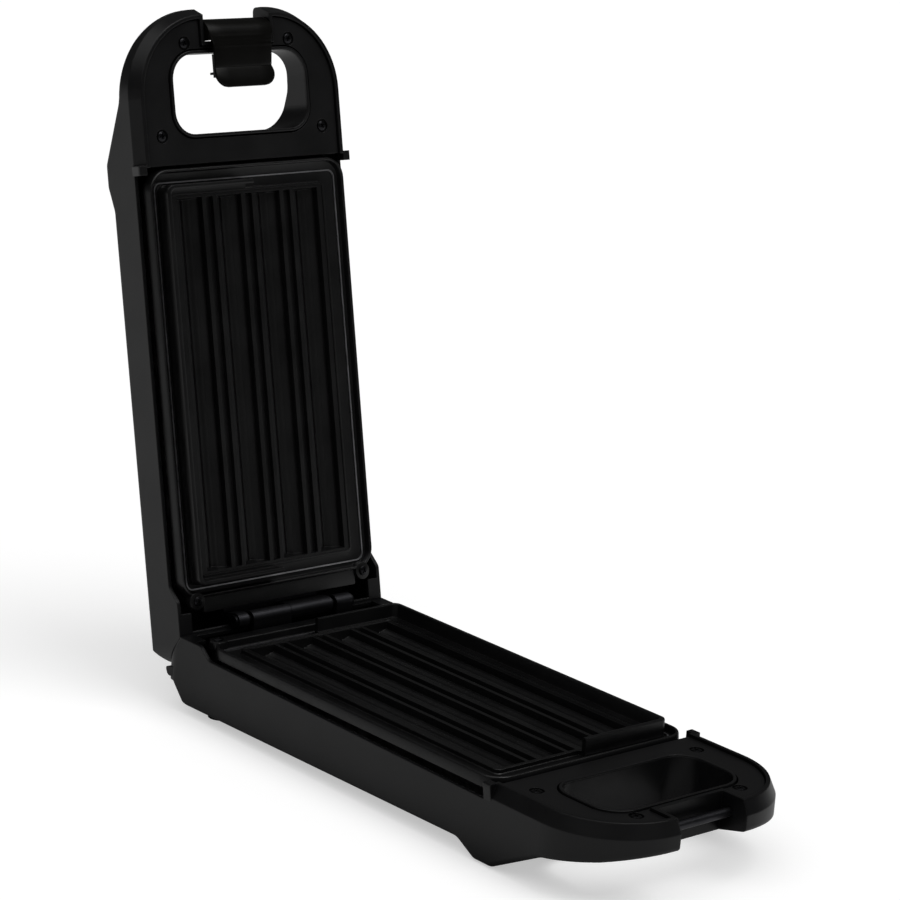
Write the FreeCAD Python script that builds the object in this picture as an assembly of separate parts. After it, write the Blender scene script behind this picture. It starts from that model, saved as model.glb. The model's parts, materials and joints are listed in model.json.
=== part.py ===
"""Churro maker: a clamshell with two fluted plates, a rear hinge and a front latch.

Each half is modelled closed in the half frame: X across, -Y from the hinge axis towards the
handle, +Z outwards from the plane where the halves meet, with the hinge axis along X through
the origin. The base is that half turned over, and the lid is swung open to its stop.
In the comments v is the distance from the hinge axis towards the handle and w is the depth
behind the meeting plane. All sizes are in millimetres and angles in degrees.
"""

import FreeCAD, Part
import math
import os
from dataclasses import dataclass

Vector = FreeCAD.Vector

# Whole machine
OPEN_ANGLE = 102.6
BASE_STOP_ANGLE = 56.5
STOP_GAP = 0.2
FLOOR_DEPTH = 52.6
HALF_WIDTH = 80.0
WALL = 2.4
EDGE_RADIUS = 3.0
REAR_CORNER = 14.0
TRIM_DIP = 6.0
FIT = 0.05
SEAT_GAP = 0.1
BODY_GAP = 0.3

# Side outlines of the two casings
STOP_TIP = 6.5
BASE_STOP_LENGTH = 30.5
LID_STOP_LENGTH = 28.2
CHEEK_TOP = 4.6
CHEEK_END = 17.0
CHEEK_SLOPE = 9.0
CHEEK_WIDTH = 10.0
CHEEK_DECK = 9.5
BASE_WALL_TOP_REAR = 11.5
BASE_WALL_TOP_FRONT = 14.0
LID_WALL_TOP = 12.0
BASE_BACK_REAR = 46.9
BASE_BACK_FRONT = 44.1
LID_BACK_REAR = 36.4
LID_BACK_FRONT = 37.6
LID_SHOULDER = 42.2
SHOULDER_START = 256.0
SHOULDER_RISE = 15.0
SHOULDER_LENGTH = 14.0
HANDLE_BACK_START = 323.0
BASE_HANDLE_BACK = 32.6
BASE_HANDLE_MID = 26.6
BASE_HANDLE_TIP = 21.5
LID_HANDLE_BACK = 23.6
LID_HANDLE_MID = 21.8
LID_HANDLE_TIP = 19.6

# Handle
HANDLE_ROOT = 281.4
HANDLE_FRONT = 371.7
RIM_SIDE = 3.8
RIM_TOP = 3.7
RIM_CORNER = 49.0
FLARE = 3.8
FLARE_DEPTH = 12.0
RIM = 2.4
HANDLE_WALL = 4.0
NUB_REAR = 277.0
NUB_FRONT = 283.0
NUB_PROUD = 1.5
NUB_FOOT = 14.0
LOOP_SIDE = 25.2
LOOP_REAR = 299.7
LOOP_FRONT = 348.3
LOOP_REAR_CORNER = 14.0
LOOP_FRONT_CORNER = 16.0
LOOP_WALL = 2.0
NOTCH_HALF_WIDTH = 25.5
NOTCH_REAR = 355.5
COVER_TOP = 5.24
COVER_THICKNESS = 2.4
COVER_LOOP_GAP = 0.5
COVER_REAR_SCREW = (14.2, 299.6)
COVER_FRONT_SCREW = (14.6, 354.9)
BOSS_RADIUS = 3.6

# Plates
PLATE_SIDE = 5.0
PLATE_REAR = 17.6
PLATE_FRONT = 279.6
PLATE_CORNER = 13.0
PLATE_TOP = 3.44
BEAD_WIDTH = 2.0
VALLEY = 4.8
FLANGE_THICKNESS = 2.5
SKIRT_DRAFT = 1.0
SKIRT_FOOT = 9.3
SKIRT_WALL = 2.0
BLOCK_SIDE = 13.0
BLOCK_REAR = 30.4
BLOCK_FRONT = 265.0
BLOCK_TOP = 0.4
BLOCK_BACK = 18.0
BLOCK_CORNER = 3.0
BLOCK_DRAFT = 1.0
LIP_SIDE = 7.5
LIP_REAR = 25.5
LIP_FRONT = 270.3
LIP_THICKNESS = 3.0
LIP_TOP = -3.2
LIP_START = 2.0
LIP_CORNER = 5.0
GROOVE_COUNT = 4
GROOVE_SIDE = 17.0
GROOVE_LOBE = 13.0
GROOVE_RIB = 10.0
GROOVE_REAR = 35.5
GROOVE_FRONT = 261.0
GROOVE_END_SLOPE = 6.0
LOBE_ROUND = 1.6
RIB_ROUND = 0.8
EAR_SIDE = 9.5
EAR_PLACE = 16.0
EAR_RADIUS = 5.6
EAR_TOP = 3.2
STRIP_REAR = 8.0
STRIP_SIDE = 15.0

# Hinge
PIN_RADIUS = 2.5
PIN_HEAD_RADIUS = 4.0
PIN_HEAD = 1.6
KNUCKLE_RADIUS = 5.0
KNUCKLE_GAP = 0.3
BASE_KNUCKLES = ((-30.0, 0.0), (36.0, 49.0))
LID_KNUCKLES = ((-41.0, -33.0), (0.0, 33.0))
HINGE_SHEET = 2.4
LEAF_DEPTH = 11.0
LEAF_END = 21.0
ARM_PLACE = 2.6
LEAF_SCREW_PLACE = 14.0
BASE_LEAF_SCREWS = (-15.0, 42.0)
LID_LEAF_SCREWS = (-15.0, 18.0)

# Latch
LATCH_PIVOT = 366.0
LATCH_DEPTH = 12.0
LATCH_SIDE = 3.8
LATCH_PIN_RADIUS = 1.5
LATCH_BARREL = 4.0
LATCH_PLATE = 8.6
LATCH_PLATE_THICKNESS = 1.9
LATCH_CLAW = 29.5
LATCH_CLAW_THICKNESS = 1.5
LATCH_CLAW_TIP = 2.0
LATCH_LENGTH = 40.5
LATCH_FLARE = 2.4
LATCH_RIB = 1.6
LATCH_RIB_DEPTH = 1.4
PIN_SOCKET = 2.2
BAR_PLACE = 361.5
BAR_DEPTH = 14.2
BAR_RADIUS = 2.8

# Heating and wiring
TUBE_RADIUS = 3.2
TUBE_REAR = 16.0
TUBE_BEND = 220.0
TERMINAL_RADIUS = 1.2
TERMINAL_LENGTH = 7.0
TRAY_SIDE = 5.0
TRAY_REAR = 22.5
TRAY_FRONT = 272.0
TRAY_SHEET = 0.8
TRAY_CORNER = 5.0
TRAY_SCREWS = (60.0, 190.0)
TRAY_BOSS_RADIUS = 4.5
WINDOW_PLACE = 120.0
WINDOW_HALF = 14.0
THERMOSTAT_RADIUS = 8.0
THERMOSTAT_HEIGHT = 9.0
THERMOSTAT_FOOT = 1.6
FUSE_RADIUS = 2.0
FUSE_LENGTH = 11.0
FUSE_SIDE = 8.0
FUSE_ALONG = 150.0
FUSE_SADDLE = 1.0
BLOCK_PLACE = (38.0, 44.0)
TERMINAL_BLOCK = (30.0, 14.0, 11.0)
PAD_TOP = 42.0
INLET_SPACING = 50.0
INLET_BORE = 3.4
INLET_SLEEVE = 4.6
INLET_FLANGE = 5.8
INLET_FLANGE_THICKNESS = 1.2
INLET_INSIDE = 3.0

# Feet and lamps
REAR_FOOT_RADIUS = 8.0
REAR_FOOT_SIDE = 18.0
REAR_FOOT_PLACE = 18.0
FOOT_SOCKET = 1.2
FRONT_FOOT_SIDE = 22.0
FRONT_FOOT_LENGTH = 26.0
FRONT_FOOT_WIDTH = 9.0
FRONT_FOOT_PROUD = 0.7
LAMP_SPACING = 11.0
LAMP_PLACE = 222.0
LENS_RADIUS = 3.6
LENS_FLANGE = 4.8
LENS_FLANGE_THICKNESS = 1.0
LENS_INSIDE = 6.0
LENS_WALL = 1.0
LAMP_LENGTH = 12.0
LAMP_BASE_RADIUS = 4.6
LAMP_BASE = 2.5

# Screws
SCREW_RADIUS = 1.5
SCREW_HEAD_RADIUS = 3.2
SCREW_HEAD = 1.6
SCREW_LENGTH = 10.0
SCREW_SLOT = 0.8
COVER_RECESS_RADIUS = 3.8
COVER_RECESS = 1.2

# Values that follow from the ones above
LID_STOP_ANGLE = OPEN_ANGLE - BASE_STOP_ANGLE
FLANGE_BACK = VALLEY + FLANGE_THICKNESS
TRAY_FLOOR = BLOCK_BACK + TUBE_RADIUS + SEAT_GAP
COVER_BACK = COVER_TOP + COVER_THICKNESS
INNER_HALF_WIDTH = HALF_WIDTH - WALL
CHEEK_INNER = HALF_WIDTH - CHEEK_WIDTH
RIM_HALF_WIDTH = HALF_WIDTH - RIM_SIDE
NUB_HALF_WIDTH = HALF_WIDTH + NUB_PROUD
LOOP_HALF_WIDTH = RIM_HALF_WIDTH - LOOP_SIDE
COVER_SCREWS = ((RIM_HALF_WIDTH - COVER_REAR_SCREW[0], COVER_REAR_SCREW[1]),
                (NOTCH_HALF_WIDTH + COVER_FRONT_SCREW[0], COVER_FRONT_SCREW[1]))
LATCH_HALF_WIDTH = NOTCH_HALF_WIDTH - LATCH_SIDE
PLATE_HALF_WIDTH = HALF_WIDTH - PLATE_SIDE
BLOCK_HALF_WIDTH = PLATE_HALF_WIDTH - BLOCK_SIDE
LIP_HALF_WIDTH = PLATE_HALF_WIDTH - LIP_SIDE
EAR_SPACING = PLATE_HALF_WIDTH - EAR_SIDE
STRIP_HALF_WIDTH = PLATE_HALF_WIDTH - STRIP_SIDE
TRAY_HALF_WIDTH = PLATE_HALF_WIDTH - TRAY_SIDE
GROOVE_PITCH = 2 * (BLOCK_HALF_WIDTH - GROOVE_SIDE) / (GROOVE_COUNT - 1)
TUBE_SPACING = GROOVE_PITCH
FUSE_PLACE = (TUBE_SPACING - FUSE_SIDE, FUSE_ALONG)
REAR_FOOT_SPACING = HALF_WIDTH - REAR_FOOT_SIDE
FRONT_FOOT_SPACING = HALF_WIDTH - FRONT_FOOT_SIDE
CROSS_WALL_BACK = HANDLE_ROOT + WALL
SHOULDER_END = SHOULDER_START + SHOULDER_RISE + SHOULDER_LENGTH
GROOVE_CENTRES = tuple((i - (GROOVE_COUNT - 1) / 2) * GROOVE_PITCH for i in range(GROOVE_COUNT))
FAR = 500.0


# ---------------------------------------------------------------- drawing helpers
def side_point(v, w):
    """Point of the side view: v towards the handle, w outwards."""
    return Vector(0, -v, w)


def plan_point(u, v):
    """Point of the plan: u across, v towards the handle."""
    return Vector(u, -v, 0)


def end_point(u, w):
    """Point of the view along the grooves: u across, w outwards."""
    return Vector(u, 0, w)


def half_angle(before, corner, after):
    """Half the angle between the two sides that meet at a corner."""
    return (before - corner).getAngle(after - corner) / 2


def turn_corner(before, corner, after, run):
    """Tangent arc (entry, middle, leave) that leaves each side of a corner at the same run from it."""
    towards_before = (before - corner).normalize()
    towards_after = (after - corner).normalize()
    half = half_angle(before, corner, after)
    radius = run * math.tan(half)
    bisector = (towards_before + towards_after).normalize()
    middle = corner + bisector * (radius / math.sin(half) - radius)
    return corner + towards_before * run, middle, corner + towards_after * run


def corner_runs(points, radii):
    """Length that each corner's arc takes from its sides, limited so that neighbours never meet."""
    count = len(points)
    angles = [half_angle(points[i - 1], points[i], points[(i + 1) % count]) for i in range(count)]
    wanted = [radius / math.tan(angle) for radius, angle in zip(radii, angles)]
    runs = []
    for i, run in enumerate(wanted):
        for j in (i - 1, (i + 1) % count):
            side = (points[i] - points[j]).Length
            run = min(run, 0.98 * side * wanted[i] / max(wanted[i] + wanted[j], 1e-9))
        runs.append(run)
    return runs


def rounded_wire(corners, place):
    """Closed wire through corners (a, b, radius), with a tangent arc at each corner."""
    points = [place(a, b) for a, b, _ in corners]
    runs = corner_runs(points, [radius for _, _, radius in corners])
    bends = []
    for i, run in enumerate(runs):
        after = points[(i + 1) % len(points)]
        if run > 1e-6:
            bends.append(turn_corner(points[i - 1], points[i], after, run))
        else:
            bends.append((points[i], None, points[i]))
    edges = []
    for i, (entry, middle, leave) in enumerate(bends):
        if middle is not None:
            edges.append(Part.Arc(entry, middle, leave).toShape())
        following = bends[(i + 1) % len(bends)][0]
        if (following - leave).Length > 1e-6:
            edges.append(Part.LineSegment(leave, following).toShape())
    return Part.Wire(edges)


def side_prism(corners, half_width):
    """Side outline carried across the machine."""
    face = Part.Face(rounded_wire(corners, side_point))
    face.translate(Vector(-half_width, 0, 0))
    return face.extrude(Vector(2 * half_width, 0, 0))


def plan_prism(corners, w_from, w_to):
    """Plan outline carried from one depth to another."""
    face = Part.Face(rounded_wire(corners, plan_point))
    face.translate(Vector(0, 0, w_from))
    return face.extrude(Vector(0, 0, w_to - w_from))


def plan_loft(corners_from, w_from, corners_to, w_to):
    """Drafted form between two plan outlines."""
    near = rounded_wire(corners_from, plan_point)
    near.translate(Vector(0, 0, w_from))
    far = rounded_wire(corners_to, plan_point)
    far.translate(Vector(0, 0, w_to))
    return Part.makeLoft([near, far], True, True)


def rectangle(half_width, v_from, v_to, radius):
    """Corners of a plan rectangle about the centre line."""
    return [(-half_width, v_from, radius), (-half_width, v_to, radius),
            (half_width, v_to, radius), (half_width, v_from, radius)]


def box(u_from, u_to, v_from, v_to, w_from, w_to):
    """Block between two places in each direction."""
    size = (u_to - u_from, v_to - v_from, w_to - w_from)
    return Part.makeBox(*size, Vector(u_from, -v_to, w_from))


def post(u, v, radius, w_from, w_to):
    """Cylinder along the depth."""
    return Part.makeCylinder(radius, w_to - w_from, Vector(u, -v, w_from))


def rod(v, w, radius, u_from, u_to):
    """Cylinder across the machine."""
    return Part.makeCylinder(radius, u_to - u_from, Vector(u_from, -v, w), Vector(1, 0, 0))


def both_sides(shape):
    """The shape and its mirror image across the centre line."""
    return [shape, shape.mirror(Vector(), Vector(1, 0, 0))]


def joined(shapes):
    """One solid from several that touch or overlap."""
    first, *others = shapes
    return first.fuse(others).removeSplitter() if others else first


def cut_by(shape, tools):
    """The shape less all the tools."""
    return shape.cut(tools) if tools else shape


def group(shapes):
    """Separate solids that share one node."""
    return Part.makeCompound(shapes)


# ---------------------------------------------------------------- casing outlines
@dataclass(frozen=True)
class Half:
    """What differs between the base and the lid."""

    stop_angle: float
    stop_length: float
    wall_top_rear: float
    wall_top_front: float
    rear: tuple
    back_front: float
    shoulder: float
    handle_back: float
    handle_mid: float
    handle_tip: float


def stop_point(half, reach):
    """Point on the stop face, at a reach from the hinge axis, set back by half the stop gap."""
    angle = math.radians(half.stop_angle)
    set_back = STOP_GAP / 2
    v = -reach * math.cos(angle) + set_back * math.sin(angle)
    w = reach * math.sin(angle) + set_back * math.cos(angle)
    return v, w


def rear_reach(half):
    """How far the casing reaches behind the hinge axis."""
    return -stop_point(half, STOP_TIP + half.stop_length)[0]


def front_corners(half):
    """Side view from the shoulder round the handle and back over the wall top to the cheek."""
    front = HANDLE_FRONT + FLARE
    return [
        (SHOULDER_START, half.back_front, 10.0),
        (SHOULDER_START + SHOULDER_RISE, half.shoulder, 6.0),
        (SHOULDER_END, half.shoulder, 8.0),
        (HANDLE_BACK_START, half.handle_back, 16.0),
        (NOTCH_REAR, half.handle_mid, 20.0),
        (front, half.handle_tip, 0),
        (front, RIM_TOP, 0),
        (HANDLE_ROOT, RIM_TOP, 0),
        (HANDLE_ROOT, half.wall_top_front, 0),
        (CHEEK_END + CHEEK_SLOPE, half.wall_top_rear, 6.0),
        (CHEEK_END, CHEEK_TOP, 5.0),
    ]


def rear_corners(half):
    """Side view from the tip of the stop face down to the corner between the rear and the back."""
    tip = stop_point(half, STOP_TIP)
    heel = stop_point(half, STOP_TIP + half.stop_length)
    return [(*tip, 0), (*heel, 0), *half.rear]


def long_profile(half):
    """Side outline with its back and cheeks carried on behind the hinge, before the rear is trimmed."""
    v_rear, w_rear, _ = half.rear[-1]
    slope = (half.back_front - w_rear) / (SHOULDER_START - v_rear)
    far = -2 * rear_reach(half)
    return side_prism([(far, CHEEK_TOP, 0), (far, w_rear + slope * (far - v_rear), 0), *front_corners(half)],
                      HALF_WIDTH)


def rear_trim(half):
    """Space in front of the rear faces; it leaves the back at a small angle, so the two never touch tangentially."""
    tip_v, _ = stop_point(half, STOP_TIP)
    v_rear, w_rear, radius = half.rear[-1]
    corners = rear_corners(half)[:-1]
    corners += [(v_rear, w_rear - TRIM_DIP / 8, radius), (SHOULDER_START, w_rear + TRIM_DIP * 3, 0),
                (FAR, w_rear + TRIM_DIP * 3, 0), (FAR, -FAR, 0), (tip_v, -FAR, 0)]
    return side_prism(corners, HALF_WIDTH)


def hollow_profile(half):
    """Side outline drawn a wall's thickness inside the casing."""
    corners = rear_corners(half) + front_corners(half)
    face = Part.Face(rounded_wire(corners, side_point)).makeOffset2D(-WALL)
    face.translate(Vector(-HALF_WIDTH, 0, 0))
    return face.extrude(Vector(2 * HALF_WIDTH, 0, 0))


def handle_outline(inset):
    """Plan of the handle, without its notch."""
    half_width = RIM_HALF_WIDTH - inset
    front = HANDLE_FRONT - inset
    corner = RIM_CORNER - inset
    return [(-half_width, HANDLE_ROOT, 0), (-half_width, front, corner),
            (half_width, front, corner), (half_width, HANDLE_ROOT, 0)]


def loop_outline(outset):
    """Plan of the hand opening through the handle."""
    half_width = LOOP_HALF_WIDTH + outset
    rear = LOOP_REAR - outset
    front = LOOP_FRONT + outset
    return [(-half_width, rear, LOOP_REAR_CORNER + outset),
            (-half_width, front, LOOP_FRONT_CORNER + outset),
            (half_width, front, LOOP_FRONT_CORNER + outset),
            (half_width, rear, LOOP_REAR_CORNER + outset)]


def notch_prism(outset, w_from, w_to):
    """Space of the latch notch, wider by outset on its three sides."""
    half_width = NOTCH_HALF_WIDTH + outset
    return box(-half_width, half_width, NOTCH_REAR - outset, FAR, w_from, w_to)


def casing_outside(half):
    """Solid outer form: side outline, plan outline, flared handle rim and trimmed rear."""
    profile = long_profile(half)
    body_plan = [(-HALF_WIDTH, -FAR, 0), (-HALF_WIDTH, HANDLE_ROOT, 0),
                 (HALF_WIDTH, HANDLE_ROOT, 0), (HALF_WIDTH, -FAR, 0)]
    body = profile.common(plan_prism(body_plan, -FAR, FAR))
    handle = joined([
        plan_loft(handle_outline(0), RIM_TOP, handle_outline(-FLARE), FLARE_DEPTH),
        plan_prism(handle_outline(-FLARE), FLARE_DEPTH, FAR),
    ])
    outside = joined([body, profile.common(handle)])
    outside = outside.makeFillet(EDGE_RADIUS, back_edges(outside))
    rear = -rear_reach(half)
    corners = [(-HALF_WIDTH, rear, REAR_CORNER), (-HALF_WIDTH, FAR, 0), (HALF_WIDTH, FAR, 0),
               (HALF_WIDTH, rear, REAR_CORNER)]
    return outside.common(rear_trim(half)).common(plan_prism(corners, -FAR, FAR))


def back_edges(outside):
    """Edges between the back of a casing and its sides, from the hinge to the handle."""
    chosen = []
    for edge in outside.Edges:
        start = edge.Vertexes[0].Point
        end = edge.Vertexes[-1].Point
        deep = min(start.z, end.z) > FLARE_DEPTH + WALL
        across = abs(start.x - end.x) > HALF_WIDTH / 4 and min(start.y, end.y) > -HANDLE_FRONT
        upright = math.hypot(start.x - end.x, start.y - end.y) < 1e-6
        if deep and not across and not upright:
            chosen.append(edge)
    return chosen


def casing_hollow(half):
    """Everything taken out of the solid form: body, mouth, handle, cover recess and loop."""
    inside = hollow_profile(half)
    body_plan = rectangle(INNER_HALF_WIDTH, WALL - rear_reach(half), HANDLE_ROOT, REAR_CORNER - WALL)
    body = inside.common(plan_prism(body_plan, 0, FAR))
    mouth = box(-INNER_HALF_WIDTH, INNER_HALF_WIDTH, CHEEK_DECK, HANDLE_ROOT, -FAR, 2 * WALL + LID_WALL_TOP)
    gap = box(-CHEEK_INNER, CHEEK_INNER, stop_point(half, STOP_TIP)[0] + WALL, CHEEK_DECK + WALL,
              -FAR, 2 * WALL + CHEEK_TOP)
    barrel = rod(0, 0, KNUCKLE_RADIUS + BODY_GAP, -CHEEK_INNER, CHEEK_INNER)
    handle = plan_prism(handle_outline(HANDLE_WALL), RIM_TOP, FAR)
    handle = handle.cut([notch_prism(HANDLE_WALL, 0, FAR), box(-FAR, FAR, 0, CROSS_WALL_BACK, 0, FAR),
                         plan_prism(loop_outline(LOOP_WALL), 0, FAR)])
    handle = inside.common(handle)
    recess = plan_prism(cover_outline(-SEAT_GAP), -FAR, COVER_TOP)
    recess = recess.fuse(plan_prism(cover_outline(-SEAT_GAP), COVER_TOP, COVER_BACK).cut(
        plan_prism(loop_outline(LOOP_WALL), 0, FAR)))
    recess = recess.cut(notch_prism(RIM, -FAR, FAR))
    loop = plan_prism(loop_outline(0), -FAR, FAR)
    return [body, mouth, gap, barrel, handle, recess, loop, notch_prism(0, -FAR, FAR)]


def cover_outline(inset):
    """Plan of the handle cover, less its notch and hand opening."""
    return handle_outline(RIM + SEAT_GAP + inset)


def nubs():
    """Small flared posts where the side walls step up into the handle."""
    corners = [(RIM_HALF_WIDTH, RIM_TOP, 0), (NUB_HALF_WIDTH, RIM_TOP, 0.8),
               (NUB_HALF_WIDTH, RIM_TOP + 2, 0.8), (HALF_WIDTH, NUB_FOOT, 0), (RIM_HALF_WIDTH, NUB_FOOT, 0)]
    face = Part.Face(rounded_wire(corners, end_point))
    face.translate(Vector(0, -NUB_REAR, 0))
    return both_sides(face.extrude(Vector(0, NUB_REAR - NUB_FRONT, 0)))


def inner_posts(half, leaf_screws):
    """Posts and ribs that rise from the casing's wall to what they carry."""
    posts = [post(side * u, v, BOSS_RADIUS, COVER_BACK, FAR)
             for side in (-1, 1) for u, v in COVER_SCREWS]
    posts += [post(side * EAR_SPACING, EAR_PLACE, BOSS_RADIUS, FLANGE_BACK, FAR) for side in (-1, 1)]
    posts += [post(u, LEAF_SCREW_PLACE, BOSS_RADIUS, LEAF_DEPTH + HINGE_SHEET, FAR) for u in leaf_screws]
    posts += both_sides(front_rib())
    return joined([casing_outside(half)]).common(Part.makeCompound(posts))


def front_rib():
    """Rib on the cross wall that carries the front of the plate."""
    shelf_end = PLATE_FRONT + SKIRT_DRAFT - SKIRT_WALL - 2 * SEAT_GAP
    corners = [(TRAY_FRONT + 1, FLANGE_BACK, 0), (shelf_end - SKIRT_DRAFT, FLANGE_BACK, 0),
               (shelf_end - SKIRT_DRAFT, SKIRT_FOOT + SEAT_GAP, 0), (HANDLE_ROOT + SEAT_GAP, SKIRT_FOOT + SEAT_GAP, 0),
               (HANDLE_ROOT + SEAT_GAP, 2 * SKIRT_FOOT, 0), (TRAY_FRONT + 1, SKIRT_FOOT + SEAT_GAP, 0)]
    face = Part.Face(rounded_wire(corners, side_point))
    face.translate(Vector(TUBE_SPACING, 0, 0))
    return face.extrude(Vector(GROOVE_PITCH / 2, 0, 0))


def screw_holes(leaf_screws):
    """Pilot holes for the screws that go into the casing's posts."""
    holes = [post(side * u, v, SCREW_RADIUS, COVER_TOP, COVER_BACK + SCREW_LENGTH)
             for side in (-1, 1) for u, v in COVER_SCREWS]
    holes += [post(side * EAR_SPACING, EAR_PLACE, SCREW_RADIUS, EAR_TOP, EAR_TOP + SCREW_LENGTH)
              for side in (-1, 1)]
    holes += [post(u, LEAF_SCREW_PLACE, SCREW_RADIUS, LEAF_DEPTH, LEAF_DEPTH + SCREW_LENGTH)
              for u in leaf_screws]
    return holes


def casing(half, leaf_screws):
    """Moulded shell of one half, open towards its plate."""
    shell = cut_by(casing_outside(half), casing_hollow(half))
    shell = joined([shell, *inner_posts(half, leaf_screws).Solids, *nubs()])
    return cut_by(shell, screw_holes(leaf_screws))


# ---------------------------------------------------------------- covers and feet
def handle_cover():
    """Flat cover let into the handle's rim, open at the notch and the hand opening."""
    cover = plan_prism(cover_outline(0), COVER_TOP, COVER_BACK)
    opening = plan_prism(loop_outline(LOOP_WALL + COVER_LOOP_GAP), COVER_TOP, COVER_BACK)
    cuts = [opening, notch_prism(RIM + SEAT_GAP, COVER_TOP, COVER_BACK)]
    for side in (-1, 1):
        for u, v in COVER_SCREWS:
            cuts.append(post(side * u, v, SCREW_RADIUS, COVER_TOP, COVER_BACK))
            cuts.append(post(side * u, v, COVER_RECESS_RADIUS, COVER_TOP, COVER_TOP + COVER_RECESS))
    return cut_by(cover, cuts)


def screw(u, v, seat):
    """Screw along the depth, its head standing on the seat and its shank running inwards."""
    head = post(u, v, SCREW_HEAD_RADIUS, seat - SCREW_HEAD, seat)
    head = head.makeChamfer(SCREW_HEAD / 4, [head.Edges[1]] if head.Edges[1].Closed else [head.Edges[0]])
    shank = post(u, v, SCREW_RADIUS - FIT, seat, seat + SCREW_LENGTH - 1)
    return head.fuse(shank)


def cover_screws():
    """Four screws of the handle cover, sunk in their recesses."""
    places = [(side * u, v) for side in (-1, 1) for u, v in COVER_SCREWS]
    return group([screw(u, v, COVER_TOP + COVER_RECESS) for u, v in places])


def rear_feet():
    """Two round rubber feet under the hinge end."""
    return group([post(side * REAR_FOOT_SPACING, REAR_FOOT_PLACE, REAR_FOOT_RADIUS,
                       BASE_BACK_REAR - FOOT_SOCKET, FLOOR_DEPTH) for side in (-1, 1)])


def front_feet():
    """Two rubber pads under the shoulder of the base."""
    return group([front_foot(side) for side in (-1, 1)])


def front_foot(side):
    """Pad let into the underside of the shoulder."""
    middle = SHOULDER_END - SHOULDER_LENGTH / 2
    half = FRONT_FOOT_LENGTH / 2
    corners = rectangle(half, middle - FRONT_FOOT_WIDTH / 2, middle + FRONT_FOOT_WIDTH / 2, FRONT_FOOT_WIDTH / 3)
    pad = plan_prism(corners, FLOOR_DEPTH - FRONT_FOOT_PROUD - FOOT_SOCKET, FLOOR_DEPTH)
    pad.translate(Vector(side * FRONT_FOOT_SPACING, 0, 0))
    return pad


# ---------------------------------------------------------------- plates
def plate_outline(inset):
    """Plan of the plate's bead, drawn inside it by the inset."""
    corners = rectangle(PLATE_HALF_WIDTH - inset, PLATE_REAR + inset, PLATE_FRONT - inset, PLATE_CORNER - inset)
    return corners


def block_outline(inset):
    """Plan of the raised block that holds the grooves."""
    return rectangle(BLOCK_HALF_WIDTH - inset, BLOCK_REAR + inset, BLOCK_FRONT - inset, BLOCK_CORNER)


def lip_outline(inset):
    """Plan of the raised lip, drawn inside it by the inset."""
    return rectangle(LIP_HALF_WIDTH - inset, LIP_REAR + inset, LIP_FRONT - inset, LIP_CORNER - inset / 2)


def groove():
    """Half of a six-lobed star along the grooves, with sloped ends."""
    corners = [(-GROOVE_LOBE, LIP_TOP, 0), (-GROOVE_LOBE, BLOCK_TOP, 0)]
    for step in range(5):
        angle = math.radians(150 - 30 * step)
        on_lobe = step % 2 == 0
        reach = GROOVE_LOBE if on_lobe else GROOVE_RIB
        corners.append((reach * math.cos(angle), BLOCK_TOP + reach * math.sin(angle),
                        LOBE_ROUND if on_lobe else RIB_ROUND))
    corners += [(GROOVE_LOBE, BLOCK_TOP, 0), (GROOVE_LOBE, LIP_TOP, 0)]
    face = Part.Face(rounded_wire(corners, end_point))
    face.translate(Vector(0, -GROOVE_REAR, 0))
    star = face.extrude(Vector(0, GROOVE_REAR - GROOVE_FRONT, 0))
    bottom = BLOCK_TOP + GROOVE_LOBE
    ends = [(GROOVE_REAR, LIP_TOP, 0), (GROOVE_REAR, BLOCK_TOP, 0), (GROOVE_REAR + GROOVE_END_SLOPE, bottom, 0),
            (GROOVE_FRONT - GROOVE_END_SLOPE, bottom, 0), (GROOVE_FRONT, BLOCK_TOP, 0), (GROOVE_FRONT, LIP_TOP, 0)]
    return star.common(side_prism(ends, GROOVE_PITCH))


def grooves():
    """The grooves side by side."""
    cutters = []
    for centre in GROOVE_CENTRES:
        cutter = groove()
        cutter.translate(Vector(centre, 0, 0))
        cutters.append(cutter)
    return cutters


def plate_lip():
    """Raised lip round one half of the block, and the filled valley inside it."""
    lip_side = box(-FAR, -LIP_START, 0, FAR, LIP_TOP, BLOCK_BACK)
    lip = plan_prism(lip_outline(0), LIP_TOP, FLANGE_BACK).cut(
        plan_prism(lip_outline(LIP_THICKNESS), LIP_TOP, BLOCK_TOP))
    return lip.common(lip_side)


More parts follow.
